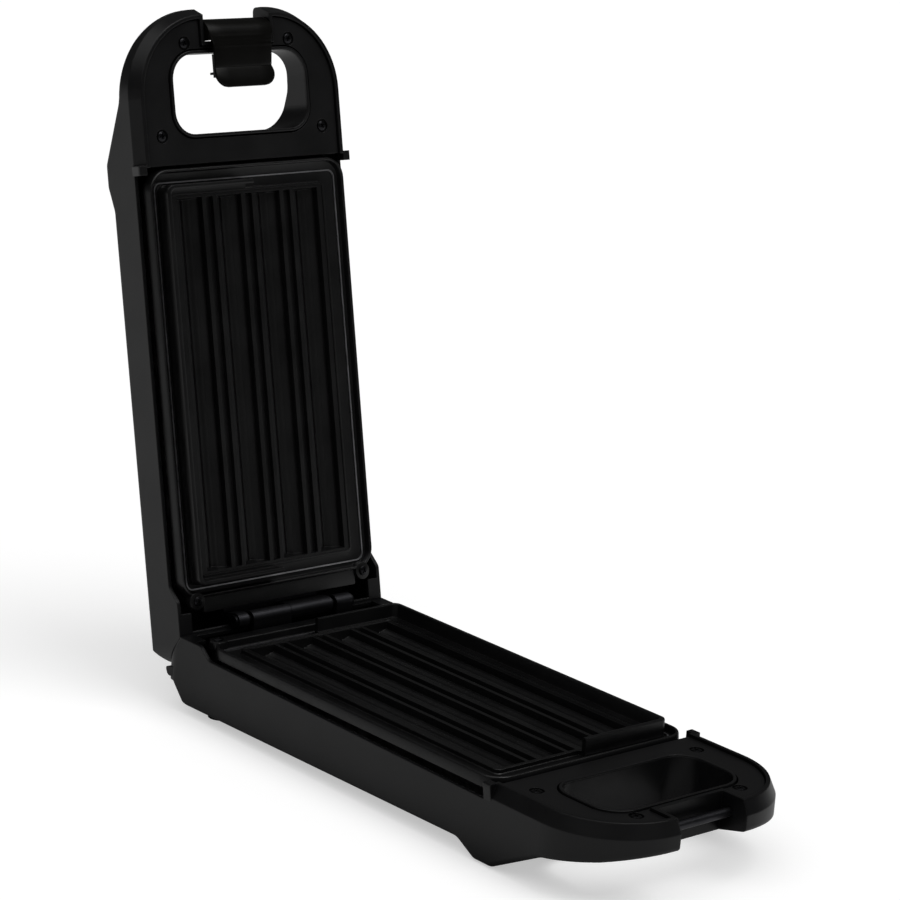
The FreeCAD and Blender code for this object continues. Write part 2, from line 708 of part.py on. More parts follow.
def plate():
    """Die-cast plate: bead, skirt, valley, block, lip, grooves and screw ears."""
    skirt = plan_loft(plate_outline(0), PLATE_TOP, plate_outline(-SKIRT_DRAFT), SKIRT_FOOT)
    valley = plan_prism(plate_outline(BEAD_WIDTH), LIP_TOP, VALLEY)
    under = plan_prism(plate_outline(SKIRT_WALL - SKIRT_DRAFT), FLANGE_BACK, FAR)
    skirt = cut_by(skirt, [valley, under])
    block = plan_loft(block_outline(0), BLOCK_TOP, block_outline(-BLOCK_DRAFT), VALLEY)
    block = joined([block, plan_prism(block_outline(-BLOCK_DRAFT), VALLEY, BLOCK_BACK)])
    ears = [post(side * EAR_SPACING, EAR_PLACE, EAR_RADIUS, EAR_TOP, FLANGE_BACK) for side in (-1, 1)]
    strip = plan_prism(rectangle(STRIP_HALF_WIDTH, STRIP_REAR, PLATE_REAR + BEAD_WIDTH, 1.0), VALLEY, FLANGE_BACK)
    bosses = [post(0, v, TRAY_BOSS_RADIUS, VALLEY, TRAY_FLOOR) for v in TRAY_SCREWS]
    whole = joined([skirt, block, plate_lip(), strip, *ears])
    whole = cut_by(whole, grooves() + [tube_path(TUBE_RADIUS + FIT)])
    whole = joined([whole, *bosses])
    holes = [post(side * EAR_SPACING, EAR_PLACE, SCREW_RADIUS, EAR_TOP, FLANGE_BACK) for side in (-1, 1)]
    holes += [post(side * EAR_SPACING, EAR_PLACE, BOSS_RADIUS + SEAT_GAP, FLANGE_BACK, BLOCK_BACK)
              for side in (-1, 1)]
    holes += [post(0, v, SCREW_RADIUS, TRAY_FLOOR - SCREW_LENGTH, TRAY_FLOOR) for v in TRAY_SCREWS]
    return cut_by(whole, holes)


def plate_screws():
    """Two screws in the ears at the hinge end."""
    return group([screw(side * EAR_SPACING, EAR_PLACE, EAR_TOP) for side in (-1, 1)])


# ---------------------------------------------------------------- heating
def tube_path(radius):
    """U-shaped tube between the outer pairs of grooves, half sunk in the plate's back."""
    legs = [Part.makeCylinder(radius, TUBE_BEND - TUBE_REAR, Vector(side * TUBE_SPACING, -TUBE_REAR, BLOCK_BACK),
                              Vector(0, -1, 0)) for side in (-1, 1)]
    bend = Part.makeTorus(TUBE_SPACING, radius, Vector(0, -TUBE_BEND, BLOCK_BACK), Vector(0, 0, 1))
    front = box(-FAR, FAR, TUBE_BEND, FAR, 0, FAR)
    return joined([*legs, bend.common(front)])


def heating_element():
    """Sheathed heating element with a terminal pin at each end."""
    pins = [Part.makeCylinder(TERMINAL_RADIUS, TERMINAL_LENGTH, Vector(side * TUBE_SPACING, -TUBE_REAR, BLOCK_BACK),
                              Vector(0, 1, 0)) for side in (-1, 1)]
    return joined([tube_path(TUBE_RADIUS), *pins])


def heat_tray(window):
    """Sheet tray behind the plate that keeps the heat off the casing."""
    outer = plan_prism(rectangle(TRAY_HALF_WIDTH, TRAY_REAR, TRAY_FRONT, TRAY_CORNER),
                       FLANGE_BACK + SEAT_GAP, TRAY_FLOOR + TRAY_SHEET)
    inner = plan_prism(rectangle(TRAY_HALF_WIDTH - TRAY_SHEET, TRAY_REAR + TRAY_SHEET, TRAY_FRONT - TRAY_SHEET,
                                 TRAY_CORNER - TRAY_SHEET), 0, TRAY_FLOOR)
    cuts = [inner]
    cuts += [rod_hole(side) for side in (-1, 1)]
    cuts += [post(0, v, SCREW_RADIUS, 0, FAR) for v in TRAY_SCREWS]
    if window:
        cuts.append(box(-WINDOW_HALF, WINDOW_HALF, WINDOW_PLACE - WINDOW_HALF, WINDOW_PLACE + WINDOW_HALF, 0, FAR))
    return cut_by(outer, cuts)


def rod_hole(side):
    """Hole in the tray's rear wall for one leg of the heating element."""
    return Part.makeCylinder(TUBE_RADIUS + SEAT_GAP, 2 * TRAY_CORNER,
                             Vector(side * TUBE_SPACING, TRAY_CORNER - TRAY_REAR, BLOCK_BACK), Vector(0, -1, 0))


def tray_screws():
    """Screws that hold the tray to the bosses on the plate's back."""
    screws = []
    for v in TRAY_SCREWS:
        turned = screw(0, 0, 0)
        turned.rotate(Vector(), Vector(1, 0, 0), 180)
        turned.translate(Vector(0, -v, TRAY_FLOOR + TRAY_SHEET))
        screws.append(turned)
    return group(screws)


def thermostat():
    """Snap-action thermostat on the plate's back, in the tray's window."""
    foot = box(-WINDOW_HALF + 1, WINDOW_HALF - 1, WINDOW_PLACE - THERMOSTAT_RADIUS / 2,
               WINDOW_PLACE + THERMOSTAT_RADIUS / 2, BLOCK_BACK, BLOCK_BACK + THERMOSTAT_FOOT)
    body = post(0, WINDOW_PLACE, THERMOSTAT_RADIUS, BLOCK_BACK, BLOCK_BACK + THERMOSTAT_HEIGHT)
    tabs = [box(side * THERMOSTAT_RADIUS / 2 - 0.4, side * THERMOSTAT_RADIUS / 2 + 0.4, WINDOW_PLACE - 3,
                WINDOW_PLACE + 3, BLOCK_BACK + THERMOSTAT_HEIGHT, BLOCK_BACK + THERMOSTAT_HEIGHT + 6)
            for side in (-1, 1)]
    return joined([foot, body, *tabs])


def thermal_fuse():
    """Thermal fuse in its saddle on the tray."""
    u, v = FUSE_PLACE
    seat = TRAY_FLOOR + TRAY_SHEET
    saddle = box(u - FUSE_RADIUS - 2, u + FUSE_RADIUS + 2, v - FUSE_LENGTH / 4, v + FUSE_LENGTH / 4,
                 seat, seat + FUSE_SADDLE)
    body = Part.makeCylinder(FUSE_RADIUS, FUSE_LENGTH, Vector(u, -v + FUSE_LENGTH / 2, seat + FUSE_SADDLE + 1),
                             Vector(0, -1, 0))
    return joined([saddle, body])


def terminal_block():
    """Terminal block on its pad, with three screw wells in a row."""
    length, width, height = TERMINAL_BLOCK
    u, v = BLOCK_PLACE
    body = box(u - length / 2, u + length / 2, v - width / 2, v + width / 2, PAD_TOP - height, PAD_TOP)
    wells = [post(u + step * length / 3, v, 2.6, PAD_TOP - height, PAD_TOP - height / 2) for step in (-1, 0, 1)]
    return cut_by(body, wells)


# ---------------------------------------------------------------- cord inlet
def inlet_frame():
    """Centre of the sloped rear face of the base and its outward direction in the side view."""
    (v_top, w_top, _), (v_low, w_low, _) = BASE_REAR[1], BASE_REAR[2]
    centre = side_point((v_top + v_low) / 2, (w_top + w_low) / 2)
    along = side_point(v_low - v_top, w_low - w_top)
    outward = Vector(1, 0, 0).cross(along)
    outward.normalize()
    return centre + Vector(-INLET_SPACING, 0, 0), outward if outward.y > 0 else -outward


def inlet_cylinder(radius, inside, outside):
    """Cylinder along the inlet's axis, from a depth inside the rear face to outside it."""
    centre, outward = inlet_frame()
    return Part.makeCylinder(radius, inside + outside, centre - outward * inside, outward)


def inlet_bush():
    """Flanged bush that lines the cord's way into the base."""
    sleeve = inlet_cylinder(INLET_SLEEVE, WALL + INLET_INSIDE, 0)
    flange = inlet_cylinder(INLET_FLANGE, 0, INLET_FLANGE_THICKNESS)
    bore = inlet_cylinder(INLET_BORE, WALL + INLET_INSIDE, INLET_FLANGE_THICKNESS)
    return cut_by(joined([sleeve, flange]), [bore])


# ---------------------------------------------------------------- hinge
def hinge_bracket(knuckles, leaf_screws):
    """Sheet bracket with knuckles round the pin and a leaf screwed to the casing's posts."""
    spans = [(low + KNUCKLE_GAP / 2, high - KNUCKLE_GAP / 2) for low, high in knuckles]
    barrel = [rod(0, 0, KNUCKLE_RADIUS, *span) for span in spans]
    arms = [box(*span, ARM_PLACE, ARM_PLACE + HINGE_SHEET, 0, LEAF_DEPTH + HINGE_SHEET) for span in spans]
    leaf = box(spans[0][0], spans[-1][1], ARM_PLACE, LEAF_END, LEAF_DEPTH, LEAF_DEPTH + HINGE_SHEET)
    bore = rod(0, 0, PIN_RADIUS + FIT, -FAR, FAR)
    holes = [post(u, LEAF_SCREW_PLACE, SCREW_RADIUS, 0, FAR) for u in leaf_screws]
    return cut_by(joined([*barrel, *arms, leaf]), [bore, *holes])


def hinge_pin():
    """Pin with a head at each end, through all the knuckles."""
    low = LID_KNUCKLES[0][0] - KNUCKLE_GAP / 2
    high = BASE_KNUCKLES[-1][1] + KNUCKLE_GAP / 2
    shaft = rod(0, 0, PIN_RADIUS, low, high)
    heads = [rod(0, 0, PIN_HEAD_RADIUS, low - PIN_HEAD, low), rod(0, 0, PIN_HEAD_RADIUS, high, high + PIN_HEAD)]
    return joined([shaft, *heads])


def leaf_screws(places):
    """Screws of a hinge leaf."""
    return group([screw(u, LEAF_SCREW_PLACE, LEAF_DEPTH) for u in places])


# ---------------------------------------------------------------- latch
def latch_point(along, above):
    """Point of the latch's side view: along the plate from the pivot, above it towards the base."""
    return Vector(0, along - LATCH_PIVOT, LATCH_DEPTH - above)


def latch_prism(corners, u_from, u_to):
    """Side outline of the latch carried between two places across it."""
    face = Part.Face(rounded_wire(corners, latch_point))
    face.translate(Vector(u_from, 0, 0))
    return face.extrude(Vector(u_to - u_from, 0, 0))


def latch():
    """Bent plate with a pivot barrel, a claw for the base's bar, side ribs and a finger tab."""
    outer = LATCH_PLATE + LATCH_PLATE_THICKNESS
    claw_end = LATCH_CLAW + LATCH_CLAW_THICKNESS
    corners = [(-LATCH_BARREL + 0.6, 1.5, 1.0), (-1.5, 7.5, 4.0), (5.5, outer, 4.0), (claw_end, outer, 8.0),
               (LATCH_LENGTH, outer + LATCH_FLARE, 0.9), (LATCH_LENGTH + 0.6, outer + LATCH_FLARE - 2.1, 0.9),
               (claw_end, LATCH_PLATE, 6.0), (NOTCH_DEPTH_OF_LATCH - 1.0, LATCH_PLATE, 0.8), (3.4, 0.0, 1.0)]
    plate_part = latch_prism(corners, -LATCH_HALF_WIDTH, LATCH_HALF_WIDTH)
    barrel = rod(LATCH_PIVOT, LATCH_DEPTH, LATCH_BARREL, -LATCH_HALF_WIDTH, LATCH_HALF_WIDTH)
    claw = latch_prism([(LATCH_CLAW, LATCH_CLAW_TIP, 0.5), (LATCH_CLAW, LATCH_PLATE + 0.5, 0),
                        (claw_end, LATCH_PLATE + 0.5, 0), (claw_end, LATCH_CLAW_TIP, 0.5)],
                       -LATCH_HALF_WIDTH + 2 * LATCH_RIB, LATCH_HALF_WIDTH - 2 * LATCH_RIB)
    rib_rear = LATCH_PIVOT - LOOP_FRONT + 1.0
    rib = latch_prism([(rib_rear, LATCH_PLATE + 0.5, 0), (claw_end + 3, LATCH_PLATE + 0.5, 0),
                       (claw_end, LATCH_PLATE - LATCH_RIB_DEPTH, 1.0), (rib_rear, LATCH_PLATE - LATCH_RIB_DEPTH, 0.8)],
                      LATCH_HALF_WIDTH - LATCH_RIB, LATCH_HALF_WIDTH)
    body = joined([plate_part, barrel, claw, *both_sides(rib)])
    return cut_by(body, [rod(LATCH_PIVOT, LATCH_DEPTH, LATCH_PIN_RADIUS + FIT, -FAR, FAR)])


def latch_pin():
    """Pin between the two arms of the lid's handle."""
    reach = NOTCH_HALF_WIDTH + PIN_SOCKET
    return rod(LATCH_PIVOT, LATCH_DEPTH, LATCH_PIN_RADIUS, -reach, reach)


def latch_bar():
    """Round bar between the two arms of the base's handle, which the claw hooks under."""
    reach = NOTCH_HALF_WIDTH + PIN_SOCKET
    return rod(BAR_PLACE, BAR_DEPTH, BAR_RADIUS, -reach, reach)


# ---------------------------------------------------------------- lamps
def lamp_places():
    """Places of the two indicator lamps across the lid's back."""
    return [(-LAMP_SPACING, LAMP_PLACE), (LAMP_SPACING, LAMP_PLACE)]


def lamp_seat():
    """Depth of the lid's back where the lamps are."""
    share = (LAMP_PLACE - LID_REAR[-1][0]) / (SHOULDER_START - LID_REAR[-1][0])
    return LID_BACK_REAR + (LID_BACK_FRONT - LID_BACK_REAR) * share


def indicator_lenses():
    """Two domed lenses through the lid's back."""
    lenses = []
    for u, v in lamp_places():
        seat = lamp_seat() + SEAT_GAP
        flange = post(u, v, LENS_FLANGE, seat, seat + LENS_FLANGE_THICKNESS)
        flange = flange.makeFillet(LENS_FLANGE_THICKNESS * 0.8, [top_edge(flange)])
        sleeve = post(u, v, LENS_RADIUS - FIT, seat - LENS_INSIDE, seat)
        well = post(u, v, LENS_RADIUS - LENS_WALL, seat - LENS_INSIDE, seat - LENS_WALL)
        lenses.append(cut_by(joined([flange, sleeve]), [well]))
    return group(lenses)


def top_edge(shape):
    """The round edge of a cylinder that lies furthest out."""
    return max((edge for edge in shape.Edges if edge.Closed), key=lambda edge: edge.CenterOfMass.z)


def indicator_lamps():
    """Two lamps that stand in the lenses' sleeves, each on a round base."""
    lamps = []
    for u, v in lamp_places():
        foot = lamp_seat() + SEAT_GAP - LENS_INSIDE
        base = post(u, v, LAMP_BASE_RADIUS, foot - LAMP_BASE, foot)
        bulb = post(u, v, LENS_RADIUS - LENS_WALL - SEAT_GAP, foot - LAMP_LENGTH / 2, foot + LENS_INSIDE / 2)
        lamps.append(joined([base, bulb]))
    return group(lamps)


# ---------------------------------------------------------------- halves
NOTCH_DEPTH_OF_LATCH = LATCH_PIVOT - NOTCH_REAR
BASE_REAR = ((-14.5, 34.9, 3.0), (-8.4, 34.2, 1.5), (3.2, BASE_BACK_REAR, 8.0))
LID_REAR = ((-20.4, 28.4, 1.0), (-14.6, LID_BACK_REAR, 4.0))
BASE = Half(BASE_STOP_ANGLE, BASE_STOP_LENGTH, BASE_WALL_TOP_REAR, BASE_WALL_TOP_FRONT, BASE_REAR,
            BASE_BACK_FRONT, FLOOR_DEPTH - FRONT_FOOT_PROUD, BASE_HANDLE_BACK, BASE_HANDLE_MID, BASE_HANDLE_TIP)
LID = Half(LID_STOP_ANGLE, LID_STOP_LENGTH, LID_WALL_TOP, LID_WALL_TOP, LID_REAR,
           LID_BACK_FRONT, LID_SHOULDER, LID_HANDLE_BACK, LID_HANDLE_MID, LID_HANDLE_TIP)


def base_casing():
    """Base shell with the sockets of its feet, the bar and the cord inlet."""
    u, v = BLOCK_PLACE
    length, width, _ = TERMINAL_BLOCK
    pad = box(u - length / 2 + 1, u + length / 2 - 1, v - width / 2 + 1, v + width / 2 - 1, PAD_TOP, PAD_TOP + 2 * WALL)
    shell = joined([casing(BASE, mirrored(BASE_LEAF_SCREWS)), pad.common(casing_outside(BASE))])
    shell = cut_by(shell, [inlet_cylinder(INLET_SLEEVE + FIT, 2 * WALL, WALL), latch_bar()])
    return cut_by(shell, [*rear_feet().Solids, *front_feet().Solids])


def lid_casing():
    """Lid shell with the holes of its lenses and the latch pin."""
    holes = [post(u, v, LENS_RADIUS, LAMP_LENGTH, FAR) for u, v in lamp_places()]
    return cut_by(casing(LID, LID_LEAF_SCREWS), [*holes, latch_pin()])


def mirrored(places):
    """Places across the base as they lie in the half frame."""
    return tuple(-place for place in places)


def mirrored_spans(spans):
    """Spans across the base as they lie in the half frame."""
    return tuple((-high, -low) for low, high in reversed(spans))


def base_pieces():
    """Every piece of the base, in the half frame."""
    screws = mirrored(BASE_LEAF_SCREWS)
    return {
        "base_casing": base_casing(),
        "base_handle_cover": handle_cover(),
        "base_handle_cover_screws": cover_screws(),
        "latch_bar": latch_bar(),
        "lower_plate": plate(),
        "lower_plate_screws": plate_screws(),
        "lower_heating_element": heating_element(),
        "lower_heat_tray": heat_tray(True),
        "lower_tray_screws": tray_screws(),
        "thermostat": thermostat(),
        "thermal_fuse": thermal_fuse(),
        "terminal_block": terminal_block(),
        "cord_inlet_bush": inlet_bush(),
        "base_hinge_bracket": hinge_bracket(mirrored_spans(BASE_KNUCKLES), screws),
        "base_hinge_screws": leaf_screws(screws),
        "rear_feet": rear_feet(),
        "front_feet": front_feet(),
    }


def lid_pieces():
    """Every piece of the lid and the latch, in the half frame."""
    return {
        "lid_casing": lid_casing(),
        "lid_handle_cover": handle_cover(),
        "lid_handle_cover_screws": cover_screws(),
        "upper_plate": plate(),
        "upper_plate_screws": plate_screws(),
        "upper_heating_element": heating_element(),
        "upper_heat_tray": heat_tray(False),
        "upper_tray_screws": tray_screws(),
        "lid_hinge_bracket": hinge_bracket(LID_KNUCKLES, LID_LEAF_SCREWS),
        "lid_hinge_screws": leaf_screws(LID_LEAF_SCREWS),
        "indicator_lenses": indicator_lenses(),
        "indicator_lamps": indicator_lamps(),
        "latch": latch(),
        "latch_pin": latch_pin(),
    }


def assembled():
    """All pieces about the hinge axis, with the lid standing on its stop."""
    pieces = {"hinge_pin": hinge_pin()}
    for name, shape in base_pieces().items():
        shape.rotate(Vector(), Vector(0, 1, 0), 180)
        pieces[name] = shape
    for name, shape in lid_pieces().items():
        shape.rotate(Vector(), Vector(1, 0, 0), -OPEN_ANGLE)
        pieces[name] = shape
    return pieces


def place_on_table(pieces):
    """Put the pieces over the origin with their feet on the XY plane; return the hinge axis."""
    whole = Part.makeCompound(list(pieces.values())).optimalBoundingBox()
    shift = Vector(-(whole.XMin + whole.XMax) / 2, -(whole.YMin + whole.YMax) / 2, -whole.ZMin)
    for shape in pieces.values():
        shape.translate(shift)
    return shift


def main():
    """Build every piece and write one STEP file for each node."""
    os.makedirs("parts", exist_ok=True)
    pieces = assembled()
    hinge = place_on_table(pieces)
    print("hinge axis at", round(hinge.x, 4), round(hinge.y, 4), round(hinge.z, 4))
    for name, shape in pieces.items():
        shape.exportStep(os.path.join("parts", f"{name}.step"))


if __name__ == "__main__":
    main()
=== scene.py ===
"""Looks of a churro maker: two long casings with fluted plates, a rear hinge and a latch."""

import json
import logging
import math
from dataclasses import dataclass, field
from enum import Enum
from functools import cache

import bmesh
import bpy
from mathutils import Matrix, Vector
from mathutils.geometry import interpolate_bezier


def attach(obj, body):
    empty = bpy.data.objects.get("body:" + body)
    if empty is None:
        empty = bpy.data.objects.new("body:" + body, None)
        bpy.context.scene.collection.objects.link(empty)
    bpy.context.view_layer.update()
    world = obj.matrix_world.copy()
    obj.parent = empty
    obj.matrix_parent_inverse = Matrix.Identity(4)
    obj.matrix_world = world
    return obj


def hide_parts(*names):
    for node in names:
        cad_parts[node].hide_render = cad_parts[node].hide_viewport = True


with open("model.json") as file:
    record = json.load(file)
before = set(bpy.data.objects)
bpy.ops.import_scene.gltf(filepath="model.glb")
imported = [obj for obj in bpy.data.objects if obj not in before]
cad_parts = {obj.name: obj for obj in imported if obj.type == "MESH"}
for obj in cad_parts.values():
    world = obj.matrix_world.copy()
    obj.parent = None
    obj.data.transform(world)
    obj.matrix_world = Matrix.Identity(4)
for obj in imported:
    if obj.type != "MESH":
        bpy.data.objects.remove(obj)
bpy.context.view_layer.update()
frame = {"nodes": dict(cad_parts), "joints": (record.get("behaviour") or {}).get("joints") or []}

Socket = bpy.types.NodeSocket
Value = float | tuple | Socket
Row = list[bmesh.types.BMVert]
Point = tuple[float, float, float]
Colour = tuple[float, float, float]
Place = tuple[float, float]
Profile = tuple[Place, ...]

log = logging.getLogger("churro_maker")
MM = 0.001
SIDES = (-1, 1)
ARC_STEPS = 8
EAR_PLACE = (65.5, 16.0)
SHADER_RAYS = 6
BOW_SHARE = 1 / 6
WHITE = (1.0, 1.0, 1.0, 1.0)


# ---- shader sheets
@dataclass(frozen=True)
class Clouds:
    """Cloudy pattern: width of one cloud, octaves of finer ones and the height of its relief, in metres."""

    size: float
    detail: float
    height: float = 0.0


class Graph:
    """A node tree, with short ways to add to it."""

    def __init__(self, tree: bpy.types.NodeTree) -> None:
        """Takes the node tree that is added to."""
        self.tree = tree

    def fill(self, node: bpy.types.Node, **values: Value) -> None:
        """Sets a node's inputs, or links them to another node's output.

        Args:
            node: the node.
            values: number, colour or output for each input; an underscore in a name stands for a space.
        """
        for name, value in values.items():
            socket = node.inputs[name.replace("_", " ")]
            if isinstance(value, Socket):
                self.tree.links.new(value, socket)
            else:
                socket.default_value = value

    def add(self, kind: str, output: str, traits: dict | None = None, **values: Value) -> Socket:
        """Adds a node.

        Args:
            kind: kind of the node.
            output: name of the output that is wanted.
            traits: settings of the node itself.
            values: number, colour or output for each input.

        Returns:
            The output.
        """
        node = self.tree.nodes.new(f"ShaderNode{kind}")
        for name, value in (traits or {}).items():
            setattr(node, name, value)
        self.fill(node, **values)
        return node.outputs[output]

    def spread(self, value: Socket, low: Value, high: Value, start: float = 0.3, end: float = 0.7) -> Socket:
        """Carries a value's range over to another range, and holds it there.

        Args:
            value: the value to carry over.
            low: result at the start of the range.
            high: result at its end.
            start: where the range starts.
            end: where it ends.

        Returns:
            The result.
        """
        return self.add("MapRange", "Result", Value=value, From_Min=start, From_Max=end, To_Min=low,
                        To_Max=high)


class Sheet(Graph):
    """One material's node tree, with what the finishes share."""

    def __init__(self, name: str) -> None:
        """Starts an empty material.

        Args:
            name: name of the material.
        """
        self.material = bpy.data.materials.new(name)
        self.material.use_nodes = True
        super().__init__(self.material.node_tree)
        self.place = self.add("TexCoord", "Object")

    def wear(self, **values: Value) -> bpy.types.Material:
        """Fills the shader's own inputs and hands over the material."""
        self.fill(self.tree.nodes["Principled BSDF"], **values)
        return self.material

    def noise(self, clouds: Clouds, stretch: Point | None = None) -> Socket:
        """Cloudy noise from 0 to 1, drawn out by factors on the axes."""
        place = self.add("Mapping", "Vector", Vector=self.place, Scale=stretch) if stretch else self.place
        return self.add("TexNoise", "Fac", Vector=place, Scale=1.0 / clouds.size, Detail=clouds.detail)

    def specks(self, spacing: float, core: float, rim: float) -> Socket:
        """Scattered specks, 1 in their core and 0 beyond their rim, both as shares of their spacing."""
        distance = self.add("TexVoronoi", "Distance", Vector=self.place, Scale=1.0 / spacing)
        return self.spread(distance, 1, 0, core, rim)

    def between(self, factor: Socket, first: Colour, second: Colour) -> Socket:
        """Mixes two colours by a factor from 0 to 1."""
        return self.add("Mix", "Result", {"data_type": "RGBA"}, Factor=factor, A=(*first, 1.0),
                        B=(*second, 1.0))

    def painted_shade_mask(self, reach: float) -> Socket:
        """Openness of a place, low in hollows where a wall is within reach; the mask for painted shade
        there.
        """
        return self.add("AmbientOcclusion", "AO", {"samples": SHADER_RAYS}, Distance=reach)

    def softened_edges(self, radius: float) -> Socket:
        """Normal that rounds the edges, as a mould or a thick coating does."""
        return self.add("Bevel", "Normal", {"samples": SHADER_RAYS}, Radius=radius)

    def bump(self, height: Socket, depth: float, **under: Socket) -> Socket:
        """Normal of a relief of this depth, lying on the normal of a coarser one."""
        return self.add("Bump", "Normal", Height=height, Distance=depth, Strength=1.0, **under)

    def relief(self, clouds: Clouds, **under: Socket) -> Socket:
        """Normal of a cloudy relief."""
        return self.bump(self.noise(clouds), clouds.height, **under)


def darker(colour: Colour, factor: float) -> Colour:
    """A colour with each part multiplied by a factor."""
    return tuple(part * factor for part in colour)


@dataclass(frozen=True)
class Finish:
    """Looks of one material, and the name of its slot."""

    name: str
    slot: str
    colour: Colour

    def material(self) -> bpy.types.Material:
        """Builds the finish's one material."""
        raise NotImplementedError


@dataclass(frozen=True)
class MouldedPlastic(Finish):
    """Moulded plastic: a fine grain from the mould, broad patches where hands polish it, and painted shade
    that dulls its shine in hollows.
    """

    roughness: float
    shine: float = 0.36
    edge: float = 0.45 * MM
    # Painted shade: within this reach of a wall the shine falls to a share of itself, darkening hollows.
    shade_reach: float = 14 * MM
    shaded_shine: float = 0.25
    shade_range: Place = (0.4, 0.88)
    patches: Clouds = Clouds(28 * MM, 4.0)
    tint: float = 0.12
    polish: float = 0.05
    wave: Clouds = Clouds(35 * MM, 1.0, 0.036 * MM)
    grain: Clouds = Clouds(0.45 * MM, 3.0, 0.012 * MM)

    @cache
    def material(self) -> bpy.types.Material:
        """Builds the finish's one material.

        Returns:
            The material.
        """
        sheet = Sheet(self.name)
        patches = sheet.noise(self.patches)
        wave = sheet.relief(self.wave, Normal=sheet.softened_edges(self.edge))
        # Painted shade: ambient occlusion lowers the specular level in hollows, darkening them.
        painted_shade_mask = sheet.painted_shade_mask(self.shade_reach)
        return sheet.wear(
            Base_Color=sheet.between(sheet.spread(patches, 0, 1), darker(self.colour, 1 - self.tint),
                                     darker(self.colour, 1 + self.tint)),
            Roughness=sheet.spread(patches, self.roughness - self.polish, self.roughness + self.polish),
            Specular_IOR_Level=sheet.spread(painted_shade_mask, self.shine * self.shaded_shine, self.shine,
                                            *self.shade_range),
            Normal=sheet.relief(self.grain, Normal=wave))


@dataclass(frozen=True)
class NonstickCoating(Finish):
    """Sprayed black coating over cast aluminium: orange peel, fine specks and rubbed patches."""

    speck: Colour
    roughness: float
    shine: float = 0.43
    edge: float = 0.3 * MM
    specks: tuple[float, float, float] = (0.9 * MM, 0.05, 0.16)
    patches: Clouds = Clouds(22 * MM, 5.0)
    polish: float = 0.06
    wear: float = 0.08
    cast: Clouds = Clouds(2.6 * MM, 3.0, 0.035 * MM)
    peel: Clouds = Clouds(0.5 * MM, 2.0, 0.01 * MM)

    @cache
    def material(self) -> bpy.types.Material:
        """Builds the finish's one material.

        Returns:
            The material.
        """
        sheet = Sheet(self.name)
        cast = sheet.relief(self.cast, Normal=sheet.softened_edges(self.edge))
        return sheet.wear(
            Base_Color=sheet.between(sheet.specks(*self.specks), self.colour, self.speck),
            Roughness=sheet.spread(sheet.noise(self.patches), self.roughness - self.polish,
                                   self.roughness + self.wear),
            Specular_IOR_Level=self.shine, Normal=sheet.relief(self.peel, Normal=cast))


class Lay(Enum):
    """Direction of the fine lines on a metal, as stretches of its noise."""

    ACROSS = (0.05, 1.0, 1.0)
    ALONG = (1.0, 0.05, 0.05)
    NONE = (1.0, 1.0, 1.0)


@dataclass(frozen=True)
class Metal(Finish):
    """Bare or plated metal with drawn lines, stains and small dents."""

    roughness: float
    lay: Lay = Lay.NONE
    stain: float = 0.25
    stains: Clouds = Clouds(9 * MM, 5.0)
    lines: Clouds = Clouds(0.35 * MM, 4.0, 0.008 * MM)
    polish: float = 0.08
    wear: float = 0.1

    @cache
    def material(self) -> bpy.types.Material:
        """Builds the finish's one material.

        Returns:
            The material.
        """
        sheet = Sheet(self.name)
        lines = sheet.noise(self.lines, self.lay.value)
        stains = sheet.spread(sheet.noise(self.stains), 0, 1)
        return sheet.wear(
            Base_Color=sheet.between(stains, darker(self.colour, 1 - self.stain), self.colour),
            Roughness=sheet.spread(lines, self.roughness - self.polish, self.roughness + self.wear),
            Normal=sheet.bump(lines, self.lines.height), Metallic=1.0)


@dataclass(frozen=True)
class Rubber(Finish):
    """Matte rubber with a fine grain and dust in its hollows."""

    roughness: float = 0.75
    shine: float = 0.35
    dust: Clouds = Clouds(3 * MM, 5.0)
    dust_range: Place = (0.5, 0.75)
    dust_tint: float = 1.8
    grain: Clouds = Clouds(0.3 * MM, 3.0, 0.02 * MM)

    @cache
    def material(self) -> bpy.types.Material:
        """Builds the finish's one material.

        Returns:
            The material.
        """
        sheet = Sheet(self.name)
        dust = sheet.spread(sheet.noise(self.dust), 0, 1, *self.dust_range)
        return sheet.wear(
            Base_Color=sheet.between(dust, self.colour, darker(self.colour, self.dust_tint)),
            Roughness=self.roughness, Specular_IOR_Level=self.shine, Normal=sheet.relief(self.grain))


@dataclass(frozen=True)
class LampPlastic(Finish):
    """Tinted clear plastic or glass, with flow lines and tiny bubbles."""

    clear: float
    roughness: float = 0.12
    bending: float = 1.5
    flow: Clouds = Clouds(1.5 * MM, 2.0)
    flow_tint: float = 0.85
    bubbles: Clouds = Clouds(0.8 * MM, 1.0, 0.01 * MM)

    @cache
    def material(self) -> bpy.types.Material:
        """Builds the finish's one material.

        Returns:
            The material.
        """
        sheet = Sheet(self.name)
        flow = sheet.spread(sheet.noise(self.flow), 0, 1)
        return sheet.wear(
            Base_Color=sheet.between(flow, darker(self.colour, self.flow_tint), self.colour),
            Roughness=self.roughness, Transmission_Weight=self.clear, IOR=self.bending,
            Normal=sheet.relief(self.bubbles))


@dataclass(frozen=True)
class FiredClay(Finish):
    """Ceramic or phenolic moulding with specks and a dull skin."""

    roughness: float
    specks: tuple[float, float, float] = (0.7 * MM, 0.05, 0.2)
    speck_tint: float = 0.7
    skin: Clouds = Clouds(0.6 * MM, 3.0, 0.02 * MM)

    @cache
    def material(self) -> bpy.types.Material:
        """Builds the finish's one material.

        Returns:
            The material.
        """
        sheet = Sheet(self.name)
        specks = sheet.specks(*self.specks)
        return sheet.wear(
            Base_Color=sheet.between(specks, self.colour, darker(self.colour, self.speck_tint)),
            Roughness=self.roughness, Normal=sheet.relief(self.skin))


